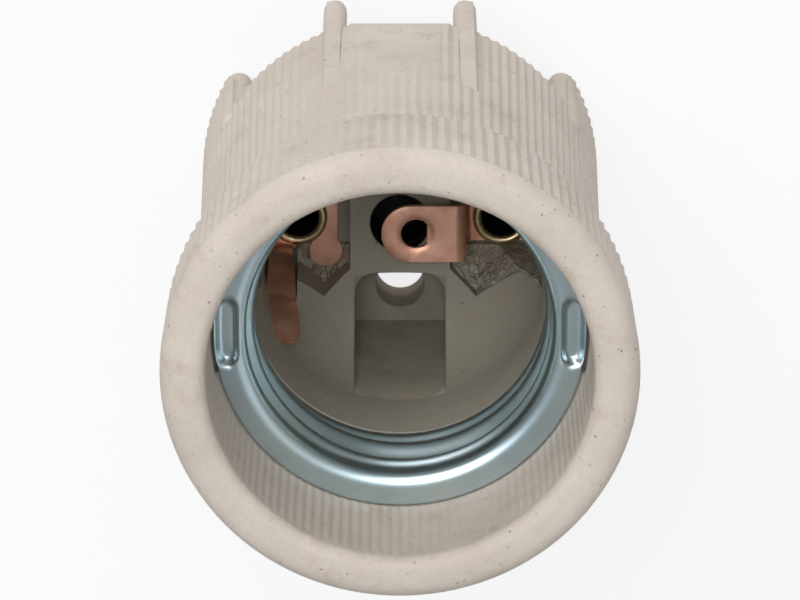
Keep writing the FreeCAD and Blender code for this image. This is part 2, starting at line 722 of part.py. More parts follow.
def build_side_contact():
    """A copper strip: plate under the rivet, a finger with a round end, and a spring leaf up the wall."""
    sheet_gap = size.contact_sheet
    foot = pocket_floor
    plate = new_body("side_plate")
    finger_end = size.side_plate_inner_end + size.finger_width
    plate_sketch = outline(plate, "side_plate_plan", "XY_Plane", [
        (size.side_plate_inner_end, -size.plate_back),
        (size.plate_outer_end, -size.plate_back),
        (size.plate_outer_end, size.plate_front),
        (finger_end, size.plate_front),
        (finger_end, size.lobe_centre_along),
        (size.side_plate_inner_end, size.lobe_centre_along),
    ], offset=foot)
    pad(plate, "side_plate_pad", plate_sketch, sheet_gap)
    lobe = cylinder("finger_lobe", size.lobe_radius, sheet_gap, foot, size.lobe_centre_across,
                    size.lobe_centre_along)
    leaf = build_leaf()
    whole = doc.addObject("Part::MultiFuse", "side_contact_whole")
    whole.Shapes = [plate, lobe, leaf]
    return boolean("Part::Cut", "side_contact", whole, rivet_hole("side_contact", 1, foot, sheet_gap))


def build_leaf():
    """The spring leaf: foot on the plate, riser, slope to a crease, and a flatter tip with a round end."""
    sheet_gap = size.contact_sheet
    strip = new_body("leaf_strip")
    side = outline(strip, "leaf_side", "YZ_Plane", [
        (-size.leaf_foot_length, 0),
        (sheet_gap, 0),
        (sheet_gap, size.leaf_riser_height),
        (size.leaf_knee_run, size.leaf_knee_height),
        (size.leaf_tip_run, size.leaf_tip_height),
        (size.leaf_tip_run, size.leaf_tip_height + sheet_gap),
        (size.leaf_knee_run, size.leaf_knee_height + size.leaf_knee_sheet),
        (0, size.leaf_riser_height + size.leaf_bend_sheet),
        (0, sheet_gap),
        (-size.leaf_foot_length, sheet_gap),
    ], offset=-size.leaf_width / 2)
    pad(strip, "leaf_pad", side, size.leaf_width)
    plan = new_body("leaf_plan")
    half = size.leaf_width / 2
    plan_sketch = outline(plan, "leaf_plan_outline", "XY_Plane", [
        (-half, -size.leaf_foot_length),
        (half, -size.leaf_foot_length),
        (half, size.leaf_tip_run - half),
        (-half, size.leaf_tip_run - half),
    ], arcs={2: (ZERO, size.leaf_tip_run - half, 1)})
    pad(plan, "leaf_plan_pad", plan_sketch, size.leaf_tip_height * 2)
    leaf = boolean("Part::Common", "leaf", strip, plan)
    leaf.Placement.Rotation = Rotation(Vector(0, 0, 1), 1)
    bind(leaf, "Placement.Rotation.Angle", size.leaf_turn)
    bind(leaf, "Placement.Base.x", size.leaf_foot_across)
    bind(leaf, "Placement.Base.y", size.leaf_foot_along)
    bind(leaf, "Placement.Base.z", pocket_floor)
    return leaf


def build_eyelet(name, side):
    """A tubular rivet from the contact's plate to the terminal plate, rolled over at both ends."""
    body = new_body(name)
    top = pocket_floor + size.contact_sheet
    bottom = base_level - size.terminal_sheet
    height = size.rivet_head_height
    section = outline(body, name + "_section", "XZ_Plane", [
        (size.rivet_bore_radius, bottom),
        (size.rivet_outer_radius, bottom - height),
        (size.rivet_head_radius, bottom),
        (size.rivet_outer_radius, bottom),
        (size.rivet_outer_radius, top),
        (size.rivet_head_radius, top),
        (size.rivet_outer_radius, top + height),
        (size.rivet_bore_radius, top),
    ])
    revolve(body, name + "_tube", section)
    bind(body, "Placement.Base.x", size.rivet_distance * side)
    return body


# ---------------------------------------------------------------------------------------------- terminals

def build_terminal(name, side):
    """A tapped plate on the base's rear face, with its clamp washer and its slotted screw."""
    across = size.rivet_distance * side
    toward = -side
    along = size.screw_offset * toward
    plate_level = base_level - size.terminal_sheet
    plate = new_body(name + "_terminal_blank")
    sketch = outline(plate, name + "_terminal_plan", "XY_Plane",
                     bevelled(across, size.terminal_half_width, size.terminal_back * -toward,
                              size.terminal_front * toward), offset=plate_level)
    pad(plate, name + "_terminal_pad", sketch, size.terminal_sheet)
    tapped = cylinder(name + "_tapped_hole", size.screw_shank_radius + size.screw_clearance,
                      size.terminal_sheet, plate_level, across, along)
    drilled = doc.addObject("Part::MultiFuse", name + "_terminal_holes")
    drilled.Shapes = [tapped, rivet_hole(name + "_terminal", side, plate_level, size.terminal_sheet)]
    terminal = boolean("Part::Cut", name + "_terminal_plate", plate, drilled)

    washer_top = plate_level - size.washer_gap
    washer_level = washer_top - size.washer_sheet
    blank = new_body(name + "_washer_blank")
    half = size.washer_half_width
    sketch = outline(blank, name + "_washer_plan", "XY_Plane",
                     bevelled(across, half, along - half, along + half), offset=washer_level)
    pad(blank, name + "_washer_pad", sketch, size.washer_sheet)
    bore = cylinder(name + "_washer_bore", size.screw_shank_radius + size.screw_clearance,
                    size.washer_sheet, washer_level, across, along)
    washer = boolean("Part::Cut", name + "_clamp_washer", blank, bore)

    screw = new_body(name + "_terminal_screw")
    length = relief_end - size.screw_end_clearance - washer_level
    section = outline(screw, name + "_screw_section", "XZ_Plane", [
        (0, -size.screw_head_height),
        (size.screw_head_radius - size.screw_edge_round, -size.screw_head_height),
        (size.screw_head_radius, size.screw_edge_round - size.screw_head_height),
        (size.screw_head_radius, 0),
        (size.screw_shank_radius, 0),
        (size.screw_shank_radius, length - size.screw_edge_round),
        (size.screw_shank_radius - size.screw_edge_round, length),
        (0, length),
    ])
    revolve(screw, name + "_screw_form", section)
    half_slot = size.screw_slot_width / 2
    slot = outline(screw, name + "_screw_slot_plan", "XY_Plane", [
        (-size.screw_head_radius, -half_slot),
        (size.screw_head_radius, -half_slot),
        (size.screw_head_radius, half_slot),
        (-size.screw_head_radius, half_slot),
    ], offset=-size.screw_head_height)
    pocket(screw, name + "_screw_slot", slot, size.screw_slot_depth, forward=True)
    bind(screw, "Placement.Base.x", across)
    bind(screw, "Placement.Base.y", along)
    bind(screw, "Placement.Base.z", washer_level)
    return [terminal, washer, screw]


def bevelled(across, half, first, last):
    """The corners of a rectangle about a line along Y, with its four corners bevelled."""
    cut = size.washer_corner
    low, high = (first, last) if first.value < last.value else (last, first)
    return [
        (across - half + cut, low), (across + half - cut, low), (across + half, low + cut),
        (across + half, high - cut), (across + half - cut, high), (across - half + cut, high),
        (across - half, high - cut), (across - half, low + cut),
    ]


# ---------------------------------------------------------------------------------------------- cement

def build_cement(name, side):
    """The sealing cement in the pointed end of one contact pocket."""
    body = new_body(name)
    gap = size.cement_clearance
    start = size.rivet_head_radius + gap
    point = (size.pocket_point_across, size.pocket_point_along - size.cement_point_clearance)
    if side < 0:
        corners = [
            (size.pocket_inner_edge + gap, start),
            (size.cement_outer_edge, start),
            point,
            (size.pocket_inner_edge + gap, size.pocket_half_width - gap),
        ]
    else:
        lobe_end = size.lobe_centre_along + size.lobe_radius + gap
        lobe_side = size.lobe_centre_across + size.lobe_radius + gap
        corners = [
            (size.pocket_inner_edge + gap, lobe_end),
            (lobe_side, lobe_end),
            (lobe_side, start),
            (size.cement_by_leaf, start),
            (size.cement_by_leaf, lobe_end),
            point,
            (size.pocket_inner_edge + gap, size.pocket_half_width - gap),
        ]
    sketch = outline(body, name + "_plan", "XY_Plane", [(across * side, along) for across, along in corners],
                     offset=pocket_floor)
    pad(body, name + "_pad", sketch, size.cement_height)
    return body


# ---------------------------------------------------------------------------------------------- document

def build_all():
    nodes = [
        build_ceramic_body(),
        build_screw_shell(),
        build_centre_contact(),
        build_side_contact(),
        build_eyelet("centre_eyelet", -1),
        build_eyelet("side_eyelet", 1),
        build_cement("centre_sealing_cement", -1),
        build_cement("side_sealing_cement", 1),
    ]
    nodes += build_terminal("centre", -1)
    nodes += build_terminal("side", 1)
    return nodes


def check(nodes):
    """Stops if any object failed or any piece isn't a sound solid."""
    for item in doc.Objects:
        if "Invalid" in item.State or "Error" in item.State:
            raise RuntimeError("%s failed: %s" % (item.Label, item.State))
    for node in nodes:
        shape = node.Shape
        if shape.isNull() or not shape.isValid() or not shape.Solids:
            raise RuntimeError("%s has no sound solid" % node.Label)


def export(nodes):
    os.makedirs("parts", exist_ok=True)
    for node in nodes:
        node.Shape.exportStep(os.path.join("parts", node.Label + ".step"))
        print(node.Label, "volume %.2f" % node.Shape.Volume, "solids", len(node.Shape.Solids))


parts = build_all()
doc.recompute()
check(parts)
export(parts)
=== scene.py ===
import json
import math

import bmesh
import bpy
from mathutils import Matrix, Vector, noise


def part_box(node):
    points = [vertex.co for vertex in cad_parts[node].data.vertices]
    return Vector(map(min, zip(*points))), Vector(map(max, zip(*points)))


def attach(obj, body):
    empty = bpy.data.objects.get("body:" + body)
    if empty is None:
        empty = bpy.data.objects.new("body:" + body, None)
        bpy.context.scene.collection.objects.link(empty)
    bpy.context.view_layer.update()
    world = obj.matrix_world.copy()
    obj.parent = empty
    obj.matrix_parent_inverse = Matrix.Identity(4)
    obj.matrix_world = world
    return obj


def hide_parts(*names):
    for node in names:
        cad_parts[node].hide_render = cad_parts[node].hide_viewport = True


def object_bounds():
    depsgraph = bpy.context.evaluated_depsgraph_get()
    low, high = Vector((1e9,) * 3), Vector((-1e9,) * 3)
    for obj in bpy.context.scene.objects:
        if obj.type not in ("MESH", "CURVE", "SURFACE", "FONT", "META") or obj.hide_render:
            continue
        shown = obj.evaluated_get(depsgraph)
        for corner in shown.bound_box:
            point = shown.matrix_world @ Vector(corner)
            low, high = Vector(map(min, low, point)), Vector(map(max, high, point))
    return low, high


# The lamp holder's visual model: camera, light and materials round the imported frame. Modifiers give the
# porcelain and the centre contact the photograph's forms. The screw shell, the side contact, the rivets and
# the cement are pieces that stand for the frame's nodes. The mouth is at +Z, the side contact is at +X, and
# the top of the picture is at -Y.

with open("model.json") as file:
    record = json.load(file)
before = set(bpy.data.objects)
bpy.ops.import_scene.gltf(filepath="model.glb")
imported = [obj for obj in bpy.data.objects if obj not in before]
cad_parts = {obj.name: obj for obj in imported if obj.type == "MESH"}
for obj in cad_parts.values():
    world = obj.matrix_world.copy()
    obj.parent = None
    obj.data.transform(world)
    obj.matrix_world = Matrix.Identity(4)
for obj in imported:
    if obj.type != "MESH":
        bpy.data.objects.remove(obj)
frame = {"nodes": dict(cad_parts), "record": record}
cad_low, cad_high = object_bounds()

# Lengths are written in millimetres and turned into metres where they meet Blender. Levels are heights over
# the floor.
MM = 0.001


def smooth_step(low, high, value):
    """0 up to low, 1 from high on, and a smooth rise between them."""
    share = min(max((value - low) / (high - low), 0.0), 1.0)
    return share * share * (3 - 2 * share)


# -------------------------------------------------------------------------------------- camera

LENS = 180
SENSOR = 36
VIEW_TILT = math.radians(21.59)       # between the lamp's axis and the line from its mouth to the camera
VIEW_LIFT = math.radians(1.17)        # how far the camera then looks up from the mouth's centre
VIEW_DISTANCE = 320
CLIP_START = 10
CLIP_END = 10000


def make_camera():
    """The camera looks into the mouth with the -Y side of the holder at the top of the picture."""
    mouth = Vector((0, 0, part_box("ceramic_body")[1].z))
    data = bpy.data.cameras.new("camera")
    data.lens = LENS
    data.sensor_width = SENSOR
    data.clip_start = CLIP_START * MM
    data.clip_end = CLIP_END * MM
    camera = bpy.data.objects.new("camera", data)
    bpy.context.scene.collection.objects.link(camera)
    towards_camera = Vector((0, -math.sin(VIEW_TILT), math.cos(VIEW_TILT)))
    camera.location = mouth + VIEW_DISTANCE * MM * towards_camera
    tilt = VIEW_TILT - VIEW_LIFT
    backward = Vector((0, -math.sin(tilt), math.cos(tilt)))
    up = Vector((0, -math.cos(tilt), -math.sin(tilt)))
    camera.rotation_mode = "QUATERNION"
    camera.rotation_quaternion = Matrix((up.cross(backward), up, backward)).transposed().to_quaternion()
    bpy.context.scene.camera = camera


# -------------------------------------------------------------------------------------- light

LAMPS = (                             # name, direction from the holder, distance, side, watts
    ("key", (0.3, -0.75, 1.0), 600, 500, 2.6),
    ("fill", (-0.8, 0.3, 0.9), 700, 600, 0.45),
    ("front", (0.1, -0.3, 1.0), 800, 400, 0.6),
)
SKY_COLOUR = (0.95, 0.97, 1.0, 1)
SKY_STRENGTH = 0.42
WHITE = (1, 1, 1, 1)
FLOOR_HALF = 1500
FLOOR_COLOUR = (0.86, 0.86, 0.86, 1)
FLOOR_ROUGHNESS = 0.9
FLOOR_GLOW = 0.8                      # share of plain white in the floor as seen; the rest has the shadow


def make_lamp(name, direction, distance, side, watts):
    """A square soft light that shines on the holder's middle from the direction."""
    data = bpy.data.lights.new(name, "AREA")
    data.shape = "SQUARE"
    data.size = side * MM
    data.energy = watts
    lamp = bpy.data.objects.new(name, data)
    bpy.context.scene.collection.objects.link(lamp)
    away = Vector(direction).normalized()
    lamp.location = (cad_low + cad_high) / 2 + away * (distance * MM)
    lamp.rotation_mode = "QUATERNION"
    lamp.rotation_quaternion = away.to_track_quat("Z", "Y")


def make_world():
    """A plain sky that lights the holder; the camera sees it white."""
    world = bpy.data.worlds.new("studio")
    bpy.context.scene.world = world
    world.use_nodes = True
    nodes, links = world.node_tree.nodes, world.node_tree.links
    nodes.clear()
    mix = nodes.new("ShaderNodeMixShader")
    for socket, colour, strength in ((1, SKY_COLOUR, SKY_STRENGTH), (2, WHITE, 1.0)):
        sky = nodes.new("ShaderNodeBackground")
        sky.inputs["Color"].default_value = colour
        sky.inputs["Strength"].default_value = strength
        links.new(sky.outputs[0], mix.inputs[socket])
    links.new(nodes.new("ShaderNodeLightPath").outputs["Is Camera Ray"], mix.inputs[0])
    links.new(mix.outputs[0], nodes.new("ShaderNodeOutputWorld").inputs[0])


def seen_directly(nodes, links):
    """A socket that is 1 where the camera, a mirror image or a refraction looks at the surface."""
    path = nodes.new("ShaderNodeLightPath")
    seen = path.outputs["Is Camera Ray"]
    for ray in ("Is Glossy Ray", "Is Transmission Ray"):
        either = nodes.new("ShaderNodeMath")
        either.operation = "MAXIMUM"
        links.new(seen, either.inputs[0])
        links.new(path.outputs[ray], either.inputs[1])
        seen = either.outputs[0]
    return seen


def floor_material():
    """A pale floor that keeps the shadow, mixed with plain white where it is seen."""
    material = bpy.data.materials.new("floor")
    material.use_nodes = True
    nodes, links = material.node_tree.nodes, material.node_tree.links
    shader = nodes["Principled BSDF"]
    shader.inputs["Base Color"].default_value = FLOOR_COLOUR
    shader.inputs["Roughness"].default_value = FLOOR_ROUGHNESS
    glow = nodes.new("ShaderNodeEmission")
    glow.inputs["Color"].default_value = WHITE
    mix = nodes.new("ShaderNodeMixShader")
    share = nodes.new("ShaderNodeMath")
    share.operation = "MULTIPLY"
    share.inputs[1].default_value = FLOOR_GLOW
    links.new(seen_directly(nodes, links), share.inputs[0])
    links.new(share.outputs[0], mix.inputs[0])
    links.new(shader.outputs[0], mix.inputs[1])
    links.new(glow.outputs[0], mix.inputs[2])
    links.new(mix.outputs[0], nodes["Material Output"].inputs["Surface"])
    return material


def make_floor():
    mesh = bpy.data.meshes.new("floor")
    form = bmesh.new()
    bmesh.ops.create_grid(form, x_segments=1, y_segments=1, size=FLOOR_HALF * MM)
    form.to_mesh(mesh)
    form.free()
    floor = bpy.data.objects.new("floor", mesh)
    bpy.context.scene.collection.objects.link(floor)
    floor.location.z = cad_low.z
    floor.data.materials.append(floor_material())


# -------------------------------------------------------------------------------------- paint

SPOT_BLEND = 0.02                     # share of the cells over which the spots' strength rises


class Paint:
    """A material in the making: its nodes, and short ways to add the usual ones."""

    def __init__(self, name, colour, roughness, metallic=0.0):
        self.material = bpy.data.materials.new(name)
        self.material.use_nodes = True
        self.nodes = self.material.node_tree.nodes
        self.links = self.material.node_tree.links
        self.shader = self.nodes["Principled BSDF"]
        self.shader.inputs["Base Color"].default_value = (*colour, 1)
        self.shader.inputs["Roughness"].default_value = roughness
        self.shader.inputs["Metallic"].default_value = metallic
        self.place = self.nodes.new("ShaderNodeTexCoord").outputs["Object"]
        self.normal = None

    def fill(self, socket, value):
        """Links a socket to another one, or sets it to a number or a colour."""
        if isinstance(value, tuple):
            socket.default_value = (*value, 1)
        elif isinstance(value, (int, float)):
            socket.default_value = value
        else:
            self.links.new(value, socket)

    def use(self, socket, source):
        """Links one of the shader's inputs, given by name."""
        self.links.new(source, self.shader.inputs[socket])

    def axes(self):
        """The three coordinates, in metres."""
        node = self.nodes.new("ShaderNodeSeparateXYZ")
        self.links.new(self.place, node.inputs[0])
        return node.outputs[0], node.outputs[1], node.outputs[2]

    def noise(self, size_mm, detail, roughness):
        """A noise whose features are about the size given."""
        node = self.nodes.new("ShaderNodeTexNoise")
        node.inputs["Scale"].default_value = 1 / (size_mm * MM)
        node.inputs["Detail"].default_value = detail
        node.inputs["Roughness"].default_value = roughness
        self.links.new(self.place, node.inputs["Vector"])
        return node.outputs["Fac"]

    def cells(self, size_mm, feature):
        """A Voronoi texture whose cells are about the size given."""
        node = self.nodes.new("ShaderNodeTexVoronoi")
        node.feature = feature
        node.inputs["Scale"].default_value = 1 / (size_mm * MM)
        self.links.new(self.place, node.inputs["Vector"])
        return node

    def spots(self, size_mm, share, bare):
        """Round spots, 1 in their middle: cell size, radius as a share of it, share of cells left bare."""
        node = self.cells(size_mm, "F1")
        near = self.ramp(node.outputs["Distance"], [(0.0, 1.0), (share, 0.0)])
        chance = self.nodes.new("ShaderNodeSeparateColor")
        self.links.new(node.outputs["Color"], chance.inputs[0])
        return self.product(near, self.ramp(chance.outputs[0], [(bare, 0.0), (bare + SPOT_BLEND, 1.0)]))

    def cracks(self, size_mm, width):
        """1 on thin lines between cells of about the size given."""
        node = self.cells(size_mm, "DISTANCE_TO_EDGE")
        return self.ramp(node.outputs["Distance"], [(0.0, 1.0), (width, 0.0)])

    def ramp(self, source, stops):
        """A ramp between grey values, or between colours, at the places given."""
        node = self.nodes.new("ShaderNodeValToRGB")
        line = node.color_ramp
        while len(line.elements) < len(stops):
            line.elements.new(0.5)
        for element, (place, value) in zip(line.elements, stops):
            element.position = place
            colour = value if isinstance(value, tuple) else (value, value, value)
            element.color = (*colour, 1)
        self.links.new(source, node.inputs[0])
        return node.outputs[0]

    def math(self, operation, first, second=0.0):
        node = self.nodes.new("ShaderNodeMath")
        node.operation = operation
        self.fill(node.inputs[0], first)
        self.fill(node.inputs[1], second)
        return node.outputs[0]

    def product(self, first, *others):
        for other in others:
            first = self.math("MULTIPLY", first, other)
        return first

    def below(self, source, limit_mm, blend_mm):
        """1 where a length is under the limit, 0 beyond limit and blend."""
        node = self.nodes.new("ShaderNodeMapRange")
        node.inputs["From Min"].default_value = limit_mm * MM
        node.inputs["From Max"].default_value = (limit_mm + blend_mm) * MM
        node.inputs["To Min"].default_value = 1.0
        node.inputs["To Max"].default_value = 0.0
        self.links.new(source, node.inputs["Value"])
        return node.outputs[0]

    def above(self, source, limit_mm, blend_mm):
        """0 where a length is under the limit, 1 beyond limit and blend."""
        return self.math("SUBTRACT", 1.0, self.below(source, limit_mm, blend_mm))

    def mix(self, share, first, second):
        """Mixes two colours; each is a socket or a tuple."""
        node = self.nodes.new("ShaderNodeMix")
        node.data_type = "RGBA"
        share_socket, first_socket, second_socket = node.inputs[0], node.inputs[6], node.inputs[7]
        self.fill(share_socket, share)
        self.fill(first_socket, first)
        self.fill(second_socket, second)
        return node.outputs[2]

    def round_edges(self, radius_mm):
        """Rounds the look of the edges; it comes before any bump."""
        node = self.nodes.new("ShaderNodeBevel")
        node.samples = 4
        node.inputs["Radius"].default_value = radius_mm * MM
        self.normal = node.outputs[0]

    def bump(self, source, depth_mm):
        """Adds a relief whose full height is the depth given."""
        node = self.nodes.new("ShaderNodeBump")
        node.inputs["Strength"].default_value = 1.0
        node.inputs["Distance"].default_value = depth_mm * MM
        self.links.new(source, node.inputs["Height"])
        if self.normal is not None:
            self.links.new(self.normal, node.inputs["Normal"])
        self.normal = node.outputs[0]
        self.use("Normal", self.normal)


# -------------------------------------------------------------------------------------- porcelain's look

CLAY_DARK, CLAY_PALE = (0.570, 0.500, 0.432), (0.66, 0.588, 0.517)
GRAIN = (0.40, 0.34, 0.28)
# Painted shade: the bowl, its front channel and the well under the tongue are darkened where shade falls.
BOWL_SHADE = (0.33, 0.315, 0.25)
BOWL_SHADE_SHARE = 0.68
# Painted shade in patches on the front channel's floor and slope.
CHANNEL_SHADE = (0.12, 0.10, 0.075)
WELL_SHADE_BLACK = (0.012, 0.011, 0.010)
RUST = (0.42, 0.33, 0.235)
SPECK = (0.085, 0.06, 0.045)
SPECK_SHARE = 0.9
SPECK_KINDS = ((1.1, 0.14, 0.70), (0.62, 0.16, 0.78), (1.7, 0.075, 0.60))    # as in Paint.spots

# Borders of the zones: the length at which each begins to fade, and over how much more it does.
BOWL_SIDE, BOWL_TOP, BOWL_BOTTOM = (12.95, 0.2), (33.2, 4.0), (9.0, 1.0)
CHANNEL_SIDE, CHANNEL_END, CHANNEL_SHADE_TOP = (3.95, 0.3), (4.6, 0.2), (21.5, 4.0)
WELL_SIDE, WELL_TOP = (2.70, 0.05), (15.1, 0.5)    # the blind hole under the tongue, painted near black as shade
SKIRT_SIDE, SKIRT_BOTTOM, SKIRT_TOP = (15.9, 0.1), (42.6, 0.1), (51.5, 1.5)

FLUTES = 118
FLUTE_DEPTH = 0.038                   # of the faint fluting inside the skirt


def porcelain():
    """Unglazed porcelain: clouded and grainy, with rust, dark specks and pits, and painted shade in the
    bowl, its channel and the well.
    """
    paint = Paint("unglazed_porcelain", (0.62, 0.56, 0.49), 0.75)
    across, along, up = paint.axes()
    square = paint.math("ADD", paint.product(across, across), paint.product(along, along))
    radius = paint.math("SQRT", square)
    in_bowl = paint.product(paint.below(radius, *BOWL_SIDE), paint.below(up, *BOWL_TOP),
                            paint.above(up, *BOWL_BOTTOM))
    cloud = paint.noise(9.0, detail=5, roughness=0.6)
    tone = paint.ramp(cloud, [(0.3, CLAY_DARK), (0.7, CLAY_PALE)])
    grain = paint.ramp(paint.noise(0.35, detail=3, roughness=0.6), [(0.35, 0.14), (0.6, 0.0)])
    tone = paint.mix(grain, tone, GRAIN)
    tone = add_bowl_shade(paint, tone, in_bowl)
    # Painted shade: the blind well under the tongue is painted near black.
    in_well = paint.product(paint.below(radius, *WELL_SIDE), paint.below(up, *WELL_TOP))
    tone = paint.mix(in_well, tone, WELL_SHADE_BLACK)
    rust = paint.ramp(paint.noise(4.0, detail=6, roughness=0.7), [(0.55, 0.0), (0.70, 0.42)])
    tone = paint.mix(rust, tone, RUST)
    for kind in SPECK_KINDS:
        tone = paint.mix(paint.product(paint.spots(*kind), SPECK_SHARE), tone, SPECK)
    paint.use("Base Color", tone)
    paint.use("Roughness", paint.ramp(cloud, [(0.3, 0.66), (0.7, 0.8)]))
    add_porcelain_relief(paint, radius)
    return paint.material


def add_bowl_shade(paint, tone, in_bowl):
    """Painted shade all over the bowl, and darker painted shade in patches in the front channel."""
    across, along, up = paint.axes()
    # Painted shade: the whole bowl is darkened.
    tone = paint.mix(paint.product(in_bowl, BOWL_SHADE_SHARE), tone, BOWL_SHADE)
    patches = paint.ramp(paint.noise(3.0, detail=5, roughness=0.6), [(0.3, 0.5), (0.7, 0.2)])
    # Painted shade: the front channel is darkened further, in patches.
    shade_in_channel = paint.product(paint.below(paint.math("ABSOLUTE", across), *CHANNEL_SIDE),
                          paint.above(along, *CHANNEL_END), in_bowl, paint.below(up, *CHANNEL_SHADE_TOP), patches)
    return paint.mix(shade_in_channel, tone, CHANNEL_SHADE)


def add_porcelain_relief(paint, radius):
    """Rounded edges, faint fluting inside the skirt, grain, waviness and pits."""
    across, along, up = paint.axes()
    paint.round_edges(0.12)
    in_skirt = paint.product(paint.below(radius, *SKIRT_SIDE), paint.above(up, *SKIRT_BOTTOM),
                             paint.below(up, *SKIRT_TOP))
    turn = paint.product(paint.math("ARCTAN2", along, across), FLUTES)
    paint.bump(paint.product(paint.math("SINE", turn), in_skirt), FLUTE_DEPTH)
    paint.bump(paint.noise(0.25, detail=4, roughness=0.65), 0.03)
    paint.bump(paint.noise(2.4, detail=3, roughness=0.5), 0.12)
    paint.bump(paint.product(paint.spots(1.7, 0.13, 0.72), -1.0), 0.08)


# -------------------------------------------------------------------------------------- other looks

def metal(name, plain, tone, gloss, relief):
    """A metal's paint and its tone. plain is colour, roughness and metallic; the others are a noise's size,
    detail and roughness, followed by the stops of the tone or the gloss, or by the relief's depth."""
    paint = Paint(name, *plain)
    tone = paint.ramp(paint.noise(*tone[:3]), tone[3])
    paint.use("Base Color", tone)
    paint.use("Roughness", paint.ramp(paint.noise(*gloss[:3]), gloss[3]))
    paint.bump(paint.noise(*relief[:3]), relief[3])
    return paint, tone


def zinc_steel():
    tones = [(0.3, (0.46, 0.58, 0.63)), (0.6, (0.54, 0.66, 0.69)), (0.8, (0.60, 0.68, 0.67))]
    paint, _ = metal("zinc_steel", plain=((0.50, 0.62, 0.66), 0.32, 1.0), tone=(6.0, 3, 0.5, tones),
                     gloss=(4.0, 3, 0.5, [(0.3, 0.28), (0.7, 0.36)]), relief=(0.2, 2, 0.5, 0.0015))
    return paint.material


def copper():
    """Copper with a thin dull skin, so it is a little less than fully metallic."""
    tones = [(0.3, (0.78, 0.38, 0.25)), (0.6, (0.94, 0.53, 0.39))]
    paint, _ = metal("bare_copper", plain=((0.90, 0.56, 0.44), 0.36, 0.72), tone=(1.8, 4, 0.55, tones),
                     gloss=(0.9, 4, 0.6, [(0.3, 0.28), (0.7, 0.42)]), relief=(0.7, 3, 0.5, 0.008))
    return paint.material


# Painted shade: the inside of the rivets' bores is painted near black.
BORE_SHADE_DARK = (0.02, 0.016, 0.01)
BORE_TOP, BORE_BOTTOM = (13.3, 0.2), (6.4, 0.1)


def brass():
    """Brass, painted near black inside the rivets' bores as shade."""
    tones = [(0.3, (0.52, 0.40, 0.22)), (0.65, (0.78, 0.64, 0.38))]
    paint, tone = metal("bare_brass", plain=((0.66, 0.53, 0.30), 0.28, 1.0), tone=(1.5, 5, 0.6, tones),
                        gloss=(0.5, 4, 0.7, [(0.3, 0.24), (0.7, 0.40)]), relief=(0.3, 4, 0.6, 0.006))
    up = paint.axes()[2]
    in_bore = paint.product(paint.below(up, *BORE_TOP), paint.above(up, *BORE_BOTTOM))
    paint.use("Base Color", paint.mix(in_bore, tone, BORE_SHADE_DARK))
    return paint.material


def bright_steel():
    tones = [(0.3, (0.45, 0.45, 0.44)), (0.65, (0.68, 0.67, 0.64))]
    paint, _ = metal("bright_steel", plain=((0.62, 0.62, 0.60), 0.32, 1.0), tone=(1.5, 5, 0.6, tones),
                     gloss=(0.5, 4, 0.7, [(0.3, 0.26), (0.7, 0.42)]), relief=(0.3, 4, 0.6, 0.01))
    return paint.material


CEMENT_DARK, CEMENT_PALE = (0.34, 0.30, 0.235), (0.68, 0.62, 0.51)
CRACK = (0.09, 0.075, 0.055)
CRACK_SHARE = 0.7


def cement():
    """Crumbly cement with cracks in patches."""
    paint = Paint("sealing_cement", (0.50, 0.46, 0.38), 0.95)
    tone = paint.ramp(paint.noise(0.8, detail=6, roughness=0.75), [(0.35, CEMENT_DARK), (0.6, CEMENT_PALE)])
    patch = paint.ramp(paint.noise(1.6, detail=2, roughness=0.5), [(0.45, 0.0), (0.55, 1.0)])
    cracks = paint.product(paint.cracks(0.8, 0.07), patch)
    paint.use("Base Color", paint.mix(paint.product(cracks, CRACK_SHARE), tone, CRACK))
    paint.bump(paint.product(cracks, -1.0), 0.1)
    paint.bump(paint.noise(0.25, detail=5, roughness=0.7), 0.15)
    return paint.material


def paint_nodes(materials):
    """Gives each node of the frame the material of its slot in the record."""
    for subpart in frame["record"]["subparts"]:
        node = frame["nodes"][subpart["node"]]
        node.data.materials.clear()
        node.data.materials.append(materials[subpart["material_slot"]])


# -------------------------------------------------------------------------------------- forms

WELD_REACH = 0.0005                   # between points that are one
CIRCLE_SHIFT = 0.37                   # share of a step by which a circle's first corner is off the X axis


def keep_form(name, form, smooth=False):
    """Ends a form: outward normals, its own mesh and object."""
    bmesh.ops.recalc_face_normals(form, faces=form.faces)
    for face in form.faces:
        face.smooth = smooth
    mesh = bpy.data.meshes.new(name)
    form.to_mesh(mesh)
    form.free()
    return bpy.data.objects.new(name, mesh)


def add_block(form, lower, upper):
    """A closed block between two plans with as many corners: each is the corners and their level."""
    rings = []
    for corners, level in (lower, upper):
        rings.append([form.verts.new((x * MM, y * MM, level * MM)) for x, y in corners])
    below, above = rings
    form.faces.new(below[::-1])
    form.faces.new(above)
    for number in range(len(below)):
        after = (number + 1) % len(below)
        form.faces.new((below[number], below[after], above[after], above[number]))


def block(name, lower, upper):
    form = bmesh.new()
    add_block(form, lower, upper)
    return keep_form(name, form)


def prism(name, corners, low, high):
    return block(name, (corners, low), (corners, high))


def arc(centre, radius, start, end, steps):
    """Points on an arc between two angles in degrees."""
    points = []
    for step in range(steps + 1):
        angle = math.radians(start + (end - start) * step / steps)
        points.append((centre[0] + radius * math.cos(angle), centre[1] + radius * math.sin(angle)))
    return points


def circle(radius, count=64, centre=(0.0, 0.0)):
    """Corners of a circle; none lies on an axis, so that no cut runs along an edge of the frame's mesh."""
    turns = [2 * math.pi * (number + CIRCLE_SHIFT) / count for number in range(count)]
    return [(centre[0] + radius * math.cos(turn), centre[1] + radius * math.sin(turn)) for turn in turns]


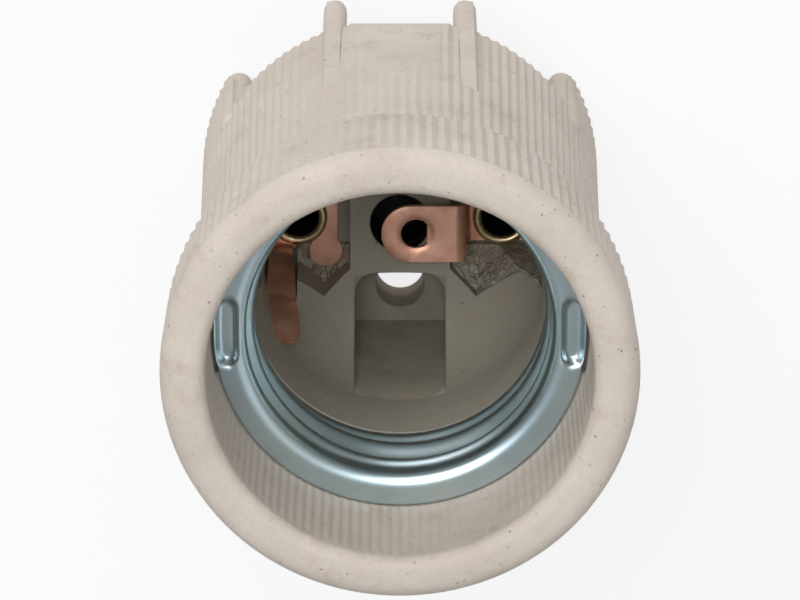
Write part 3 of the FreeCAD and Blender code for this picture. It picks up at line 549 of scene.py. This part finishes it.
def lathe(name, profile, columns, centre=(0.0, 0.0), smooth=False):
    """A closed profile (radius, level) turned about the upright line through the centre."""
    form = bmesh.new()
    rings = []
    for radius, level in profile:
        if radius == 0:
            middle = form.verts.new((centre[0] * MM, centre[1] * MM, level * MM))
            rings.append([middle] * columns)
        else:
            corners = circle(radius, columns, centre)
            rings.append([form.verts.new((x * MM, y * MM, level * MM)) for x, y in corners])
    for here, there in zip(rings, rings[1:] + rings[:1]):
        for column in range(columns):
            after = (column + 1) % columns
            corners = []
            for vert in (here[column], here[after], there[after], there[column]):
                if vert not in corners:
                    corners.append(vert)
            if len(corners) > 2:
                form.faces.new(corners)
    return keep_form(name, form, smooth)


def add_hull(form, balls):
    """The convex form round some balls (x, y, level, radius)."""
    part = bmesh.new()
    for x, y, level, radius in balls:
        place = Matrix.Translation((x * MM, y * MM, level * MM))
        bmesh.ops.create_icosphere(part, subdivisions=3, radius=radius * MM, matrix=place)
    result = bmesh.ops.convex_hull(part, input=part.verts)
    inside = [item for item in result["geom_interior"] if isinstance(item, bmesh.types.BMVert)]
    bmesh.ops.delete(part, geom=inside, context="VERTS")
    mesh = bpy.data.meshes.new("hull")
    part.to_mesh(mesh)
    part.free()
    form.from_mesh(mesh)
    bpy.data.meshes.remove(mesh)


def combine(target, other, operation):
    """Adds a boolean modifier; the other form isn't linked to the scene."""
    modifier = target.modifiers.new(other.name, "BOOLEAN")
    modifier.operation = operation
    modifier.solver = "EXACT"
    modifier.object = other


def weld(target):
    """Joins points that lie on each other, so that the mesh is closed."""
    modifier = target.modifiers.new("weld", "WELD")
    modifier.merge_threshold = WELD_REACH * MM


def smooth_by_angle(target, degrees):
    """Smooth shading where neighbouring faces meet at less than the angle."""
    group = bpy.data.node_groups.new("smooth_" + target.name, "GeometryNodeTree")
    for direction in ("INPUT", "OUTPUT"):
        group.interface.new_socket("Geometry", in_out=direction, socket_type="NodeSocketGeometry")
    start = group.nodes.new("NodeGroupInput")
    end = group.nodes.new("NodeGroupOutput")
    faces = group.nodes.new("GeometryNodeSetShadeSmooth")
    faces.domain = "FACE"
    edges = group.nodes.new("GeometryNodeSetShadeSmooth")
    edges.domain = "EDGE"
    angle = group.nodes.new("GeometryNodeInputMeshEdgeAngle")
    shallow = group.nodes.new("FunctionNodeCompare")
    shallow.data_type = "FLOAT"
    shallow.operation = "LESS_THAN"
    shallow.inputs["B"].default_value = math.radians(degrees)
    group.links.new(angle.outputs["Unsigned Angle"], shallow.inputs["A"])
    group.links.new(start.outputs[0], faces.inputs["Geometry"])
    group.links.new(faces.outputs[0], edges.inputs["Geometry"])
    group.links.new(shallow.outputs[0], edges.inputs["Shade Smooth"])
    group.links.new(edges.outputs[0], end.inputs[0])
    target.modifiers.new("smooth", "NODES").node_group = group
    weighted = target.modifiers.new("weighted", "WEIGHTED_NORMAL")
    weighted.keep_sharp = True


def show(piece, node, slot_name, materials):
    """The piece stands for the holder's CAD node."""
    bpy.context.scene.collection.objects.link(piece)
    piece.data.materials.append(materials[slot_name])
    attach(piece, "holder")
    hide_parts(node)


# -------------------------------------------------------------------------------------- screw shell

SHELL_SHEET = 0.3
FLANGE_RADIUS = 15.45
BEND_RADIUS = 1.2
MIDDLE_RADIUS = 12.75                 # of the thread, between crest and root
THREAD_PITCH = 3.63
THREAD_SWING = 0.55
FIRST_CREST = 2.3                     # below the flange, at +Y
THREAD_FADE = 0.9                     # over which the thread begins and ends
THREAD_END_LOSS = 0.7                 # share of the swing that is gone at the far end
SHELL_LENGTH = 9.0
SHELL_COLUMNS = 288
FLANGE_ROWS, BEND_ROWS, THREAD_ROWS = 8, 12, 84
DENT_PLACE = 14.3                     # from the lamp's axis to the dent's middle line, at +X and -X
DENT_HALF = 1.95                      # of the middle line
DENT_DEPTH = 0.75
DENT_FLOOR, DENT_RIM = 0.55, 1.05     # from the middle line to the floor's edge and to the rim


def shell_path():
    """The shell's section on the lamp's side: radius, depth below the flange, and tilt of its normal."""
    path = []
    inner_radius = MIDDLE_RADIUS + BEND_RADIUS
    for step in range(FLANGE_ROWS + 1):
        path.append((FLANGE_RADIUS + (inner_radius - FLANGE_RADIUS) * step / FLANGE_ROWS, 0.0, 90.0))
    for step in range(1, BEND_ROWS + 1):
        angle = math.radians(90 + 90 * step / BEND_ROWS)
        radius = MIDDLE_RADIUS + BEND_RADIUS * (1 + math.cos(angle))
        path.append((radius, BEND_RADIUS * (1 - math.sin(angle)), 90 - 90 * step / BEND_ROWS))
    for step in range(1, THREAD_ROWS + 1):
        path.append((MIDDLE_RADIUS, BEND_RADIUS + (SHELL_LENGTH - BEND_RADIUS) * step / THREAD_ROWS, 0.0))
    return path


def dent_drop(radius, angle):
    """How far the flange is pressed down at a place, in the two locking dents."""
    across = abs(radius * math.cos(angle)) - DENT_PLACE
    beyond = max(abs(radius * math.sin(angle)) - DENT_HALF, 0.0)
    return DENT_DEPTH * (1 - smooth_step(DENT_FLOOR, DENT_RIM, math.hypot(across, beyond)))


def thread_swing(angle, depth):
    """Change of the radius that the rolled thread makes; the thread is right-handed."""
    phase = (depth - FIRST_CREST) / THREAD_PITCH - (math.pi / 2 - angle) / (2 * math.pi)
    share = smooth_step(BEND_RADIUS, BEND_RADIUS + THREAD_FADE, depth)
    share *= 1 - THREAD_END_LOSS * smooth_step(SHELL_LENGTH - THREAD_FADE, SHELL_LENGTH, depth)
    return -THREAD_SWING * math.cos(2 * math.pi * phase) * share


def shell_column(form, path, angle, top):
    """Points round the sheet's section at an angle: down the lamp's side and back up the far one."""
    lamp_side, far_side = [], []
    for radius, depth, tilt in path:
        reach = radius + thread_swing(angle, depth)
        drop = dent_drop(radius, angle) if depth < BEND_RADIUS else 0.0
        for side, offset in ((lamp_side, 0.0), (far_side, SHELL_SHEET)):
            out = reach + offset * math.cos(math.radians(tilt))
            down = depth + drop + offset * math.sin(math.radians(tilt))
            place = (out * math.cos(angle) * MM, out * math.sin(angle) * MM, top - down * MM)
            side.append(form.verts.new(place))
    return lamp_side + far_side[::-1]


def make_shell(materials):
    """The pressed steel shell as one closed sheet, with its helical thread and its two dents."""
    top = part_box("screw_shell")[1].z
    path = shell_path()
    form = bmesh.new()
    angles = [2 * math.pi * column / SHELL_COLUMNS for column in range(SHELL_COLUMNS)]
    columns = [shell_column(form, path, angle, top) for angle in angles]
    for here, there in zip(columns, columns[1:] + columns[:1]):
        for row in range(len(here)):
            after = (row + 1) % len(here)
            form.faces.new((here[row], here[after], there[after], there[row]))
    show(keep_form("screw_shell_rolled", form, smooth=True), "screw_shell", "zinc_steel", materials)


# -------------------------------------------------------------------------------------- porcelain's form

BOWL_FLOOR = 15.3
BOWL_WALL = 12.7                      # radius
BOWL_CURVE = 11.0                     # radius of the curve from floor to wall
BOWL_COLUMNS = 128
BOWL_CURVE_STEPS = 32
LEDGE = 33.6                          # under the screw shell
FILLING_RADIUS = 13.2                 # fills the frame's bowl before the new one is cut
FILLING_GAP = 0.2
BOWL_OVERRUN = 0.3                    # of the cutter past the ledge

POCKET_FLOOR = 12.9
POCKET_TOP = 25.9
POCKET_NEAR = (4.45, 4.05)            # corners of half a pocket, from the middle of the holder outwards
POCKET_POINT = (6.75, 5.95)
POCKET_SHOULDER = (10.6, 2.77)
POCKET_END = (12.33, 2.77)
LEAF_POCKET = [(9.15, 1.1), (9.10, 3.9), (9.12, 5.2), (9.3, 6.25), (10.3, 7.05), (11.3, 5.5), (12.0, 3.8),
               (12.35, 1.1)]

RIVET_PLACE = 9.1                     # from the lamp's axis
RIVET_HOLE, RIVET_HOLE_ENDS = 2.27, (11.5, 13.5)
FIXING_PLACE = 6.9
FIXING_HOLE, FIXING_HOLE_ENDS = 2.22, (11.0, 13.5)
WELL_RADIUS, WELL_ENDS = 2.66, (8.8, 16.0)

CHANNEL_HALF = 4.03
CHANNEL_NEAR = 4.57
CHANNEL_CORNER = 1.6
CHANNEL_FLOOR, CHANNEL_FLOOR_END = 12.25, 10.4
SLOPE_TOP, SLOPE_END = 26.0, 12.86    # where the channel's slope leaves the bowl's wall

WALL_REACH = (14.5, 19.5)             # radii on the two sides of a side wall
WALL_END_TURNS = (29.6, 36)           # degrees from the X axis: the wall's end now, and past the frame's
WALL_CUT_ENDS = (-1.0, 3.4)
POST_PLACE, POST_TURN = 16.9, 29.4    # a round post ends each wall
POST_RADIUS, POST_ENDS = 1.28, (1.31, 13.0)
LUG_PLACE = 5.79
LUG_BALLS = ((16.9, 6.35, 1.03), (15.7, 6.41, 1.03), (15.3, 25.7, 0.99))    # way along Y, level, radius

PORCELAIN_CREASE = 33                 # degrees, as in smooth_by_angle


def turn_point(radius, degrees):
    angle = math.radians(degrees)
    return radius * math.cos(angle), radius * math.sin(angle)


def shape_bowl(body):
    """Fills the frame's bowl, and cuts it again with its full curve."""
    filling = prism("bowl_filling", circle(FILLING_RADIUS, BOWL_COLUMNS), POCKET_FLOOR - FILLING_GAP,
                    LEDGE - FILLING_GAP)
    combine(body, filling, "UNION")
    centre = (BOWL_WALL - BOWL_CURVE, BOWL_FLOOR + BOWL_CURVE)
    curve = arc(centre, BOWL_CURVE, start=-90, end=0, steps=BOWL_CURVE_STEPS)
    top = LEDGE + BOWL_OVERRUN
    section = [(0, BOWL_FLOOR)] + curve + [(BOWL_WALL, top), (0, top)]
    combine(body, lathe("bowl", section, BOWL_COLUMNS), "DIFFERENCE")
    weld(body)


def cut_pockets(body):
    """Cuts the pointed pockets of the contacts, their rivet holes, and the room for the spring leaf."""
    half = [POCKET_NEAR, POCKET_POINT, POCKET_SHOULDER, POCKET_END]
    outline = [(x, -y) for x, y in half] + half[::-1]
    for name, side in (("side", 1), ("centre", -1)):
        corners = [(x * side, y) for x, y in outline]
        combine(body, prism(name + "_pocket", corners, POCKET_FLOOR, POCKET_TOP), "DIFFERENCE")
        hole = circle(RIVET_HOLE, centre=(RIVET_PLACE * side, 0))
        combine(body, prism(name + "_rivet_hole", hole, *RIVET_HOLE_ENDS), "DIFFERENCE")
    combine(body, prism("leaf_pocket", LEAF_POCKET, POCKET_FLOOR, POCKET_TOP), "DIFFERENCE")


def cut_channels(body):
    """Cuts the two screw channels, which slope up the bowl's wall, the fixing holes and the middle well."""
    centre = (-CHANNEL_HALF + CHANNEL_CORNER, CHANNEL_NEAR + CHANNEL_CORNER)
    near = arc(centre, CHANNEL_CORNER, start=180, end=270, steps=6)
    near += [(-x, y) for x, y in near[::-1]]
    for name, side in (("front", 1), ("back", -1)):
        plans = []
        for level, end in ((CHANNEL_FLOOR, CHANNEL_FLOOR_END), (SLOPE_TOP, SLOPE_END)):
            outline = near + [(CHANNEL_HALF, end), (-CHANNEL_HALF, end)]
            plans.append(([(x, y * side) for x, y in outline], level))
        combine(body, block(name + "_channel", *plans), "DIFFERENCE")
        hole = circle(FIXING_HOLE, centre=(0, FIXING_PLACE * side))
        combine(body, prism(name + "_hole", hole, *FIXING_HOLE_ENDS), "DIFFERENCE")
    combine(body, prism("middle_well", circle(WELL_RADIUS), *WELL_ENDS), "DIFFERENCE")


def shape_outside(body):
    """Rounds the ends of the side walls, and the lugs."""
    cuts, posts, lugs = bmesh.new(), bmesh.new(), bmesh.new()
    inner, outer = WALL_REACH
    start, end = WALL_END_TURNS
    low, high = WALL_CUT_ENDS
    for turn in (0, 180):
        for side in (1, -1):
            places = ((inner, start), (outer, start), (outer, end), (inner, end))
            corners = [turn_point(radius, turn + side * angle) for radius, angle in places[::side]]
            add_block(cuts, (corners, low), (corners, high))
            x, y = turn_point(POST_PLACE, turn + side * POST_TURN)
            add_hull(posts, [(x, y, level, POST_RADIUS) for level in POST_ENDS])
    for side in (1, -1):
        for back in (1, -1):
            balls = [(LUG_PLACE * side, along * back, level, radius) for along, level, radius in LUG_BALLS]
            add_hull(lugs, balls)
    combine(body, keep_form("wall_ends", cuts), "DIFFERENCE")
    combine(body, keep_form("wall_posts", posts), "UNION")
    combine(body, keep_form("lug_ridges", lugs), "UNION")


def dress_porcelain():
    """Gives the frame's porcelain the photograph's bowl, pockets, channels, wall ends and lugs."""
    body = frame["nodes"]["ceramic_body"]
    weld(body)
    shape_bowl(body)
    cut_pockets(body)
    cut_channels(body)
    shape_outside(body)
    smooth_by_angle(body, PORCELAIN_CREASE)


# -------------------------------------------------------------------------------------- contacts

PLATE_LOW, PLATE_HIGH = 12.92, 13.4   # levels of the contacts' plates
SHEET_ROUNDING = 0.11
SHEET_ROUNDED = 50                    # degrees: sharper edges are rounded
SHEET_CREASE = 60
TONGUE_HOLE, TONGUE_HOLE_PLACE = 1.32, (-1.40, 0)
TONGUE_HOLE_FLAT = -2.44              # the hole's straight side
TONGUE_CUT_ENDS = (17.0, 19.5)
SIDE_SHEET = [(5.6, -2.6), (12.2, -2.6), (12.2, 2.3), (11.9, 3.0), (9.35, 3.0), (9.0, 2.3), (6.75, 2.3),
              (6.75, 3.2), (5.63, 3.2)]
RIVET_PASSAGE, PASSAGE_OVERRUN = 2.25, 1
LOBE_PLACE, LOBE_RADIUS = (6.65, 3.3), 1.45
LOBE_ENDS = (PLATE_LOW + 0.01, PLATE_HIGH + 0.004)    # just off the sheet's faces: none may coincide
LEAF_PATH = [(10.65, 2.7, 13.2), (10.65, 2.95, 14.6), (10.6, 3.5, 16.4), (10.55, 4.3, 18.6),
             (10.48, 5.1, 20.8), (10.32, 5.65, 22.6), (10.15, 6.35, 24.6), (10.0, 7.05, 26.4)]
LEAF_SHEET = 0.45
LEAF_LENGTH = 14.0                    # along its path
LEAF_TURN = 12                        # degrees from the X axis to the way across
LEAF_STATIONS, LEAF_STRIPS = 56, 12
LEAF_HALF = 1.3
LEAF_FOOT = 0.78                      # share of the half width at the foot
LEAF_WIDENS = (0.1, 0.5)              # shares of the length
LEAF_TIP_HALF = 0.2
CROWN = 0.38                          # height of the leaf's middle over its edges
CROWN_STARTS, CROWN_FADE = (0.55, 0.75), 2.2    # shares of the length; way before the tip
CREASE_DEPTH, CREASE_PLACE, CREASE_WIDTH = 0.16, 0.56, 0.035    # place and width as shares of the length
LEAF_CREASE = 50


def round_sheet(contact):
    """Rounded edges on a contact's sheet."""
    rounding = contact.modifiers.new("rounding", "BEVEL")
    rounding.width = SHEET_ROUNDING * MM
    rounding.segments = 2
    rounding.limit_method = "ANGLE"
    rounding.angle_limit = math.radians(SHEET_ROUNDED)
    smooth_by_angle(contact, SHEET_CREASE)


def dress_centre_contact():
    """Cuts the D-shaped hole of the tongue, and rounds the sheet's edges."""
    contact = frame["nodes"]["centre_contact"]
    weld(contact)
    corners = circle(TONGUE_HOLE, count=48, centre=TONGUE_HOLE_PLACE)
    hole = [(x, y) for x, y in corners if x > TONGUE_HOLE_FLAT]
    combine(contact, prism("tongue_hole", hole, *TONGUE_CUT_ENDS), "DIFFERENCE")
    round_sheet(contact)


def make_side_contact(materials):
    """Plate and finger with its lobe, and the bent spring leaf, of the side contact."""
    sheet = prism("side_contact_sheet", SIDE_SHEET, PLATE_LOW, PLATE_HIGH)
    passage = prism("rivet_passage", circle(RIVET_PASSAGE, count=48, centre=(RIVET_PLACE, 0)),
                    PLATE_LOW - PASSAGE_OVERRUN, PLATE_HIGH + PASSAGE_OVERRUN)
    combine(sheet, passage, "DIFFERENCE")
    lobe = circle(LOBE_RADIUS, count=48, centre=LOBE_PLACE)
    combine(sheet, prism("lobe", lobe, *LOBE_ENDS), "UNION")
    show(sheet, "side_contact", "copper", materials)
    round_sheet(sheet)
    show(leaf_form(), "side_contact", "copper", materials)


def leaf_place(share):
    """A place on the smooth line through the leaf's path, and the direction there."""
    points = [Vector(point) for point in LEAF_PATH]
    share *= len(points) - 1
    number = min(int(share), len(points) - 2)
    within = share - number
    before, start = points[max(number - 1, 0)], points[number]
    end, after = points[number + 1], points[min(number + 2, len(points) - 1)]
    place = 0.5 * ((2 * start) + (end - before) * within
                   + (2 * before - 5 * start + 4 * end - after) * within ** 2
                   + (3 * start - before - 3 * end + after) * within ** 3)
    return place, (end - start).normalized()


def leaf_half(share, left):
    """Half the leaf's width: it widens from the foot and ends in a round tip."""
    if left < LEAF_HALF:
        return math.sqrt(max(LEAF_HALF ** 2 - (LEAF_HALF - left) ** 2, LEAF_TIP_HALF ** 2))
    return LEAF_HALF * (LEAF_FOOT + (1 - LEAF_FOOT) * smooth_step(*LEAF_WIDENS, share))


def leaf_form():
    """The spring leaf: a strip along its path, crowned beyond its crease, with a round tip."""
    form = bmesh.new()
    turn = math.radians(LEAF_TURN)
    across = Vector((math.cos(turn), -math.sin(turn), 0))
    rows = []
    for station in range(LEAF_STATIONS + 1):
        share = station / LEAF_STATIONS
        left = (1 - share) * LEAF_LENGTH
        place, along = leaf_place(share)
        face = across.cross(along).normalized()
        half = leaf_half(share, left)
        crown = CROWN * smooth_step(*CROWN_STARTS, share) * smooth_step(0.0, CROWN_FADE, left)
        crease = CREASE_DEPTH * math.exp(-((share - CREASE_PLACE) / CREASE_WIDTH) ** 2)
        row = []
        for step in range(LEAF_STRIPS + 1):
            offset = -1 + 2 * step / LEAF_STRIPS
            lift = crown * (1 - offset ** 2) - crease
            row.append(form.verts.new((place + across * half * offset + face * lift) * MM))
        rows.append(row)
    for here, there in zip(rows, rows[1:]):
        for step in range(LEAF_STRIPS):
            form.faces.new((here[step], here[step + 1], there[step + 1], there[step]))
    leaf = keep_form("side_contact_leaf", form, smooth=True)
    sheet = leaf.modifiers.new("sheet", "SOLIDIFY")
    sheet.thickness = LEAF_SHEET * MM
    sheet.offset = 0
    smooth_by_angle(leaf, LEAF_CREASE)
    return leaf


# -------------------------------------------------------------------------------------- rivets

TERMINAL_FACE = 6.2                   # of the terminal plate that the rivet holds
BARREL_RADIUS = 2.18
BORE_RADIUS, BORE_END = 1.75, 7.2
BORE_DROP = 0.3                       # from the plate's upper face down to where the bore is straight
RIM_PLACE, RIM_RADIUS, RIM_LIFT = 2.2, 0.42, 0.22
FLARE_RADIUS, FLARE_FOOT, FLARE_HEIGHT = 2.65, 1.9, 0.7
RIVET_COLUMNS = 72
RIVET_CREASE = 50


def make_eyelet(name, side, materials):
    """A brass rivet with a rolled rim towards the lamp, a blind bore, and a flared end at the terminal."""
    rim = arc((RIM_PLACE, PLATE_HIGH + RIM_LIFT), RIM_RADIUS, start=-20, end=180, steps=12)
    bore = [(BORE_RADIUS, PLATE_HIGH - BORE_DROP), (BORE_RADIUS, BORE_END), (0, BORE_END)]
    tail = TERMINAL_FACE - FLARE_HEIGHT
    flare = [(0, tail), (FLARE_FOOT, tail), (FLARE_RADIUS, TERMINAL_FACE)]
    barrel = [(BARREL_RADIUS, TERMINAL_FACE), (BARREL_RADIUS, PLATE_HIGH)]
    section = rim + bore + flare + barrel
    rivet = lathe(name + "_rolled", section, RIVET_COLUMNS, centre=(RIVET_PLACE * side, 0), smooth=True)
    show(rivet, name, "brass", materials)
    weld(rivet)
    smooth_by_angle(rivet, RIVET_CREASE)


# -------------------------------------------------------------------------------------- cement

CEMENT_CELL = 0.14
CEMENT_CORNER = (4.4, 2.6)            # where the grid of cells begins
CEMENT_CELLS = (58, 36)
CEMENT_BED = POCKET_FLOOR + 0.02
CEMENT_LEAST = 12.95                  # level
CEMENT_ENDS = (4.52, 12.2)
CEMENT_SIDE_END = 9.2                 # the side contact's leaf needs the room beyond
CEMENT_NEAR, CEMENT_POINT, CEMENT_SHOULDER = 3.98, 5.88, 2.72     # the pocket's corners less a small gap
CEMENT_LOW, CEMENT_RISE = 13.65, 2.7  # level at the plate, and rise to the pocket's point
CEMENT_RISES = (2.4, 5.9)             # places along Y between which it rises
BRIM_GAP = 0.12                       # between the cement and the bowl's surface
BANK = (0.1, 1.5)                     # from the pocket's wall: full bank, and none
BANK_ALONG = (6.9, 7.9)               # along X: none, and full bank
NEAR_RISE, NEAR_RUN = 1.9, 2.3        # of the pocket's edge from the near corner to the point
FAR_FALL, FAR_RUN = 3.18, 3.85        # of its edge from the point to the shoulder
FAR_SQUARENESS = 0.77                 # turns a way along Y into one square to that edge
LUMPS_PER_MM, LUMP_HEIGHT = 1.3, 0.34
LUMP_SHIFT = 7.3                      # gives the two pockets different lumps
LUMP_FADE, LUMP_STEP, LUMP_OCTAVES = 0.7, 2.1, 5    # of the fractal noise
LOBE_FACE = 13.0                      # level of the cement beside the side contact's lobe
LOBE_BANK = 1.6                       # rise per way from the lobe


def dish_level(radius):
    """Level of the bowl's curved floor."""
    beyond = max(radius - (BOWL_WALL - BOWL_CURVE), 0.0)
    return BOWL_FLOOR + BOWL_CURVE - math.sqrt(max(BOWL_CURVE ** 2 - beyond ** 2, 0.0))


def far_edge(corner, x):
    """Y of the pocket's edge behind its point, or of a line beside it that starts at the corner's Y."""
    return corner - (x - POCKET_POINT[0]) * FAR_FALL / FAR_RUN


def in_cement(x, y, side):
    """Whether a place is in the pointed part of a pocket, beside the contact's plate."""
    low, high = CEMENT_ENDS
    if x < low or x > high or (side > 0 and x > CEMENT_SIDE_END):
        return False
    if x < POCKET_POINT[0]:
        return y < CEMENT_NEAR + (x - POCKET_NEAR[0]) * NEAR_RISE / NEAR_RUN
    return y < max(far_edge(CEMENT_POINT, x), CEMENT_SHOULDER)


def cement_level(x, y, side):
    """Level of the cement: it rises to the point, banks up along the far edge, and is lumpy."""
    level = CEMENT_LOW + CEMENT_RISE * smooth_step(*CEMENT_RISES, y)
    brim = dish_level(math.hypot(x, y)) - BRIM_GAP
    if x < POCKET_SHOULDER[0]:
        from_wall = (far_edge(POCKET_POINT[1], x) - y) * FAR_SQUARENESS
    else:
        from_wall = POCKET_SHOULDER[1] - y
    bank = (1 - smooth_step(*BANK, from_wall)) * smooth_step(*BANK_ALONG, x)
    level = min(level + (brim - level) * bank, brim)
    place = Vector((x * LUMPS_PER_MM, y * LUMPS_PER_MM, side * LUMP_SHIFT))
    level += LUMP_HEIGHT * noise.fractal(place, LUMP_FADE, LUMP_STEP, LUMP_OCTAVES)
    if side > 0:
        from_lobe = math.hypot(x - LOBE_PLACE[0], y - LOBE_PLACE[1])
        level = min(level, LOBE_FACE + max(from_lobe - LOBE_RADIUS, 0.0) * LOBE_BANK)
    return max(level, CEMENT_LEAST)


def make_cement(name, side, materials):
    """Crumbly cement between a contact's plate and the pointed end of its pocket."""
    form = bmesh.new()
    verts = {}
    start_x, start_y = CEMENT_CORNER

    def vert(column, row):
        if (column, row) not in verts:
            x, y = start_x + column * CEMENT_CELL, start_y + row * CEMENT_CELL
            verts[column, row] = form.verts.new((x * side * MM, y * MM, cement_level(x, y, side) * MM))
        return verts[column, row]

    for column in range(CEMENT_CELLS[0]):
        for row in range(CEMENT_CELLS[1]):
            if in_cement(start_x + (column + 0.5) * CEMENT_CELL, start_y + (row + 0.5) * CEMENT_CELL, side):
                form.faces.new((vert(column, row), vert(column + 1, row),
                                vert(column + 1, row + 1), vert(column, row + 1)))
    made = bmesh.ops.extrude_face_region(form, geom=list(form.faces))
    for item in made["geom"]:
        if isinstance(item, bmesh.types.BMVert):
            item.co.z = CEMENT_BED * MM
    show(keep_form(name + "_crumbly", form), name, "cement", materials)


# -------------------------------------------------------------------------------------- all

make_camera()
make_world()
make_floor()
for lamp in LAMPS:
    make_lamp(*lamp)
bpy.context.scene.view_settings.view_transform = "Standard"

finishes = {
    "porcelain": porcelain(),
    "zinc_steel": zinc_steel(),
    "copper": copper(),
    "brass": brass(),
    "bright_steel": bright_steel(),
    "cement": cement(),
}
paint_nodes(finishes)
make_shell(finishes)
dress_porcelain()
dress_centre_contact()
make_side_contact(finishes)
for contact, side in (("centre", -1), ("side", 1)):
    make_eyelet(contact + "_eyelet", side, finishes)
    make_cement(contact + "_sealing_cement", side, finishes)
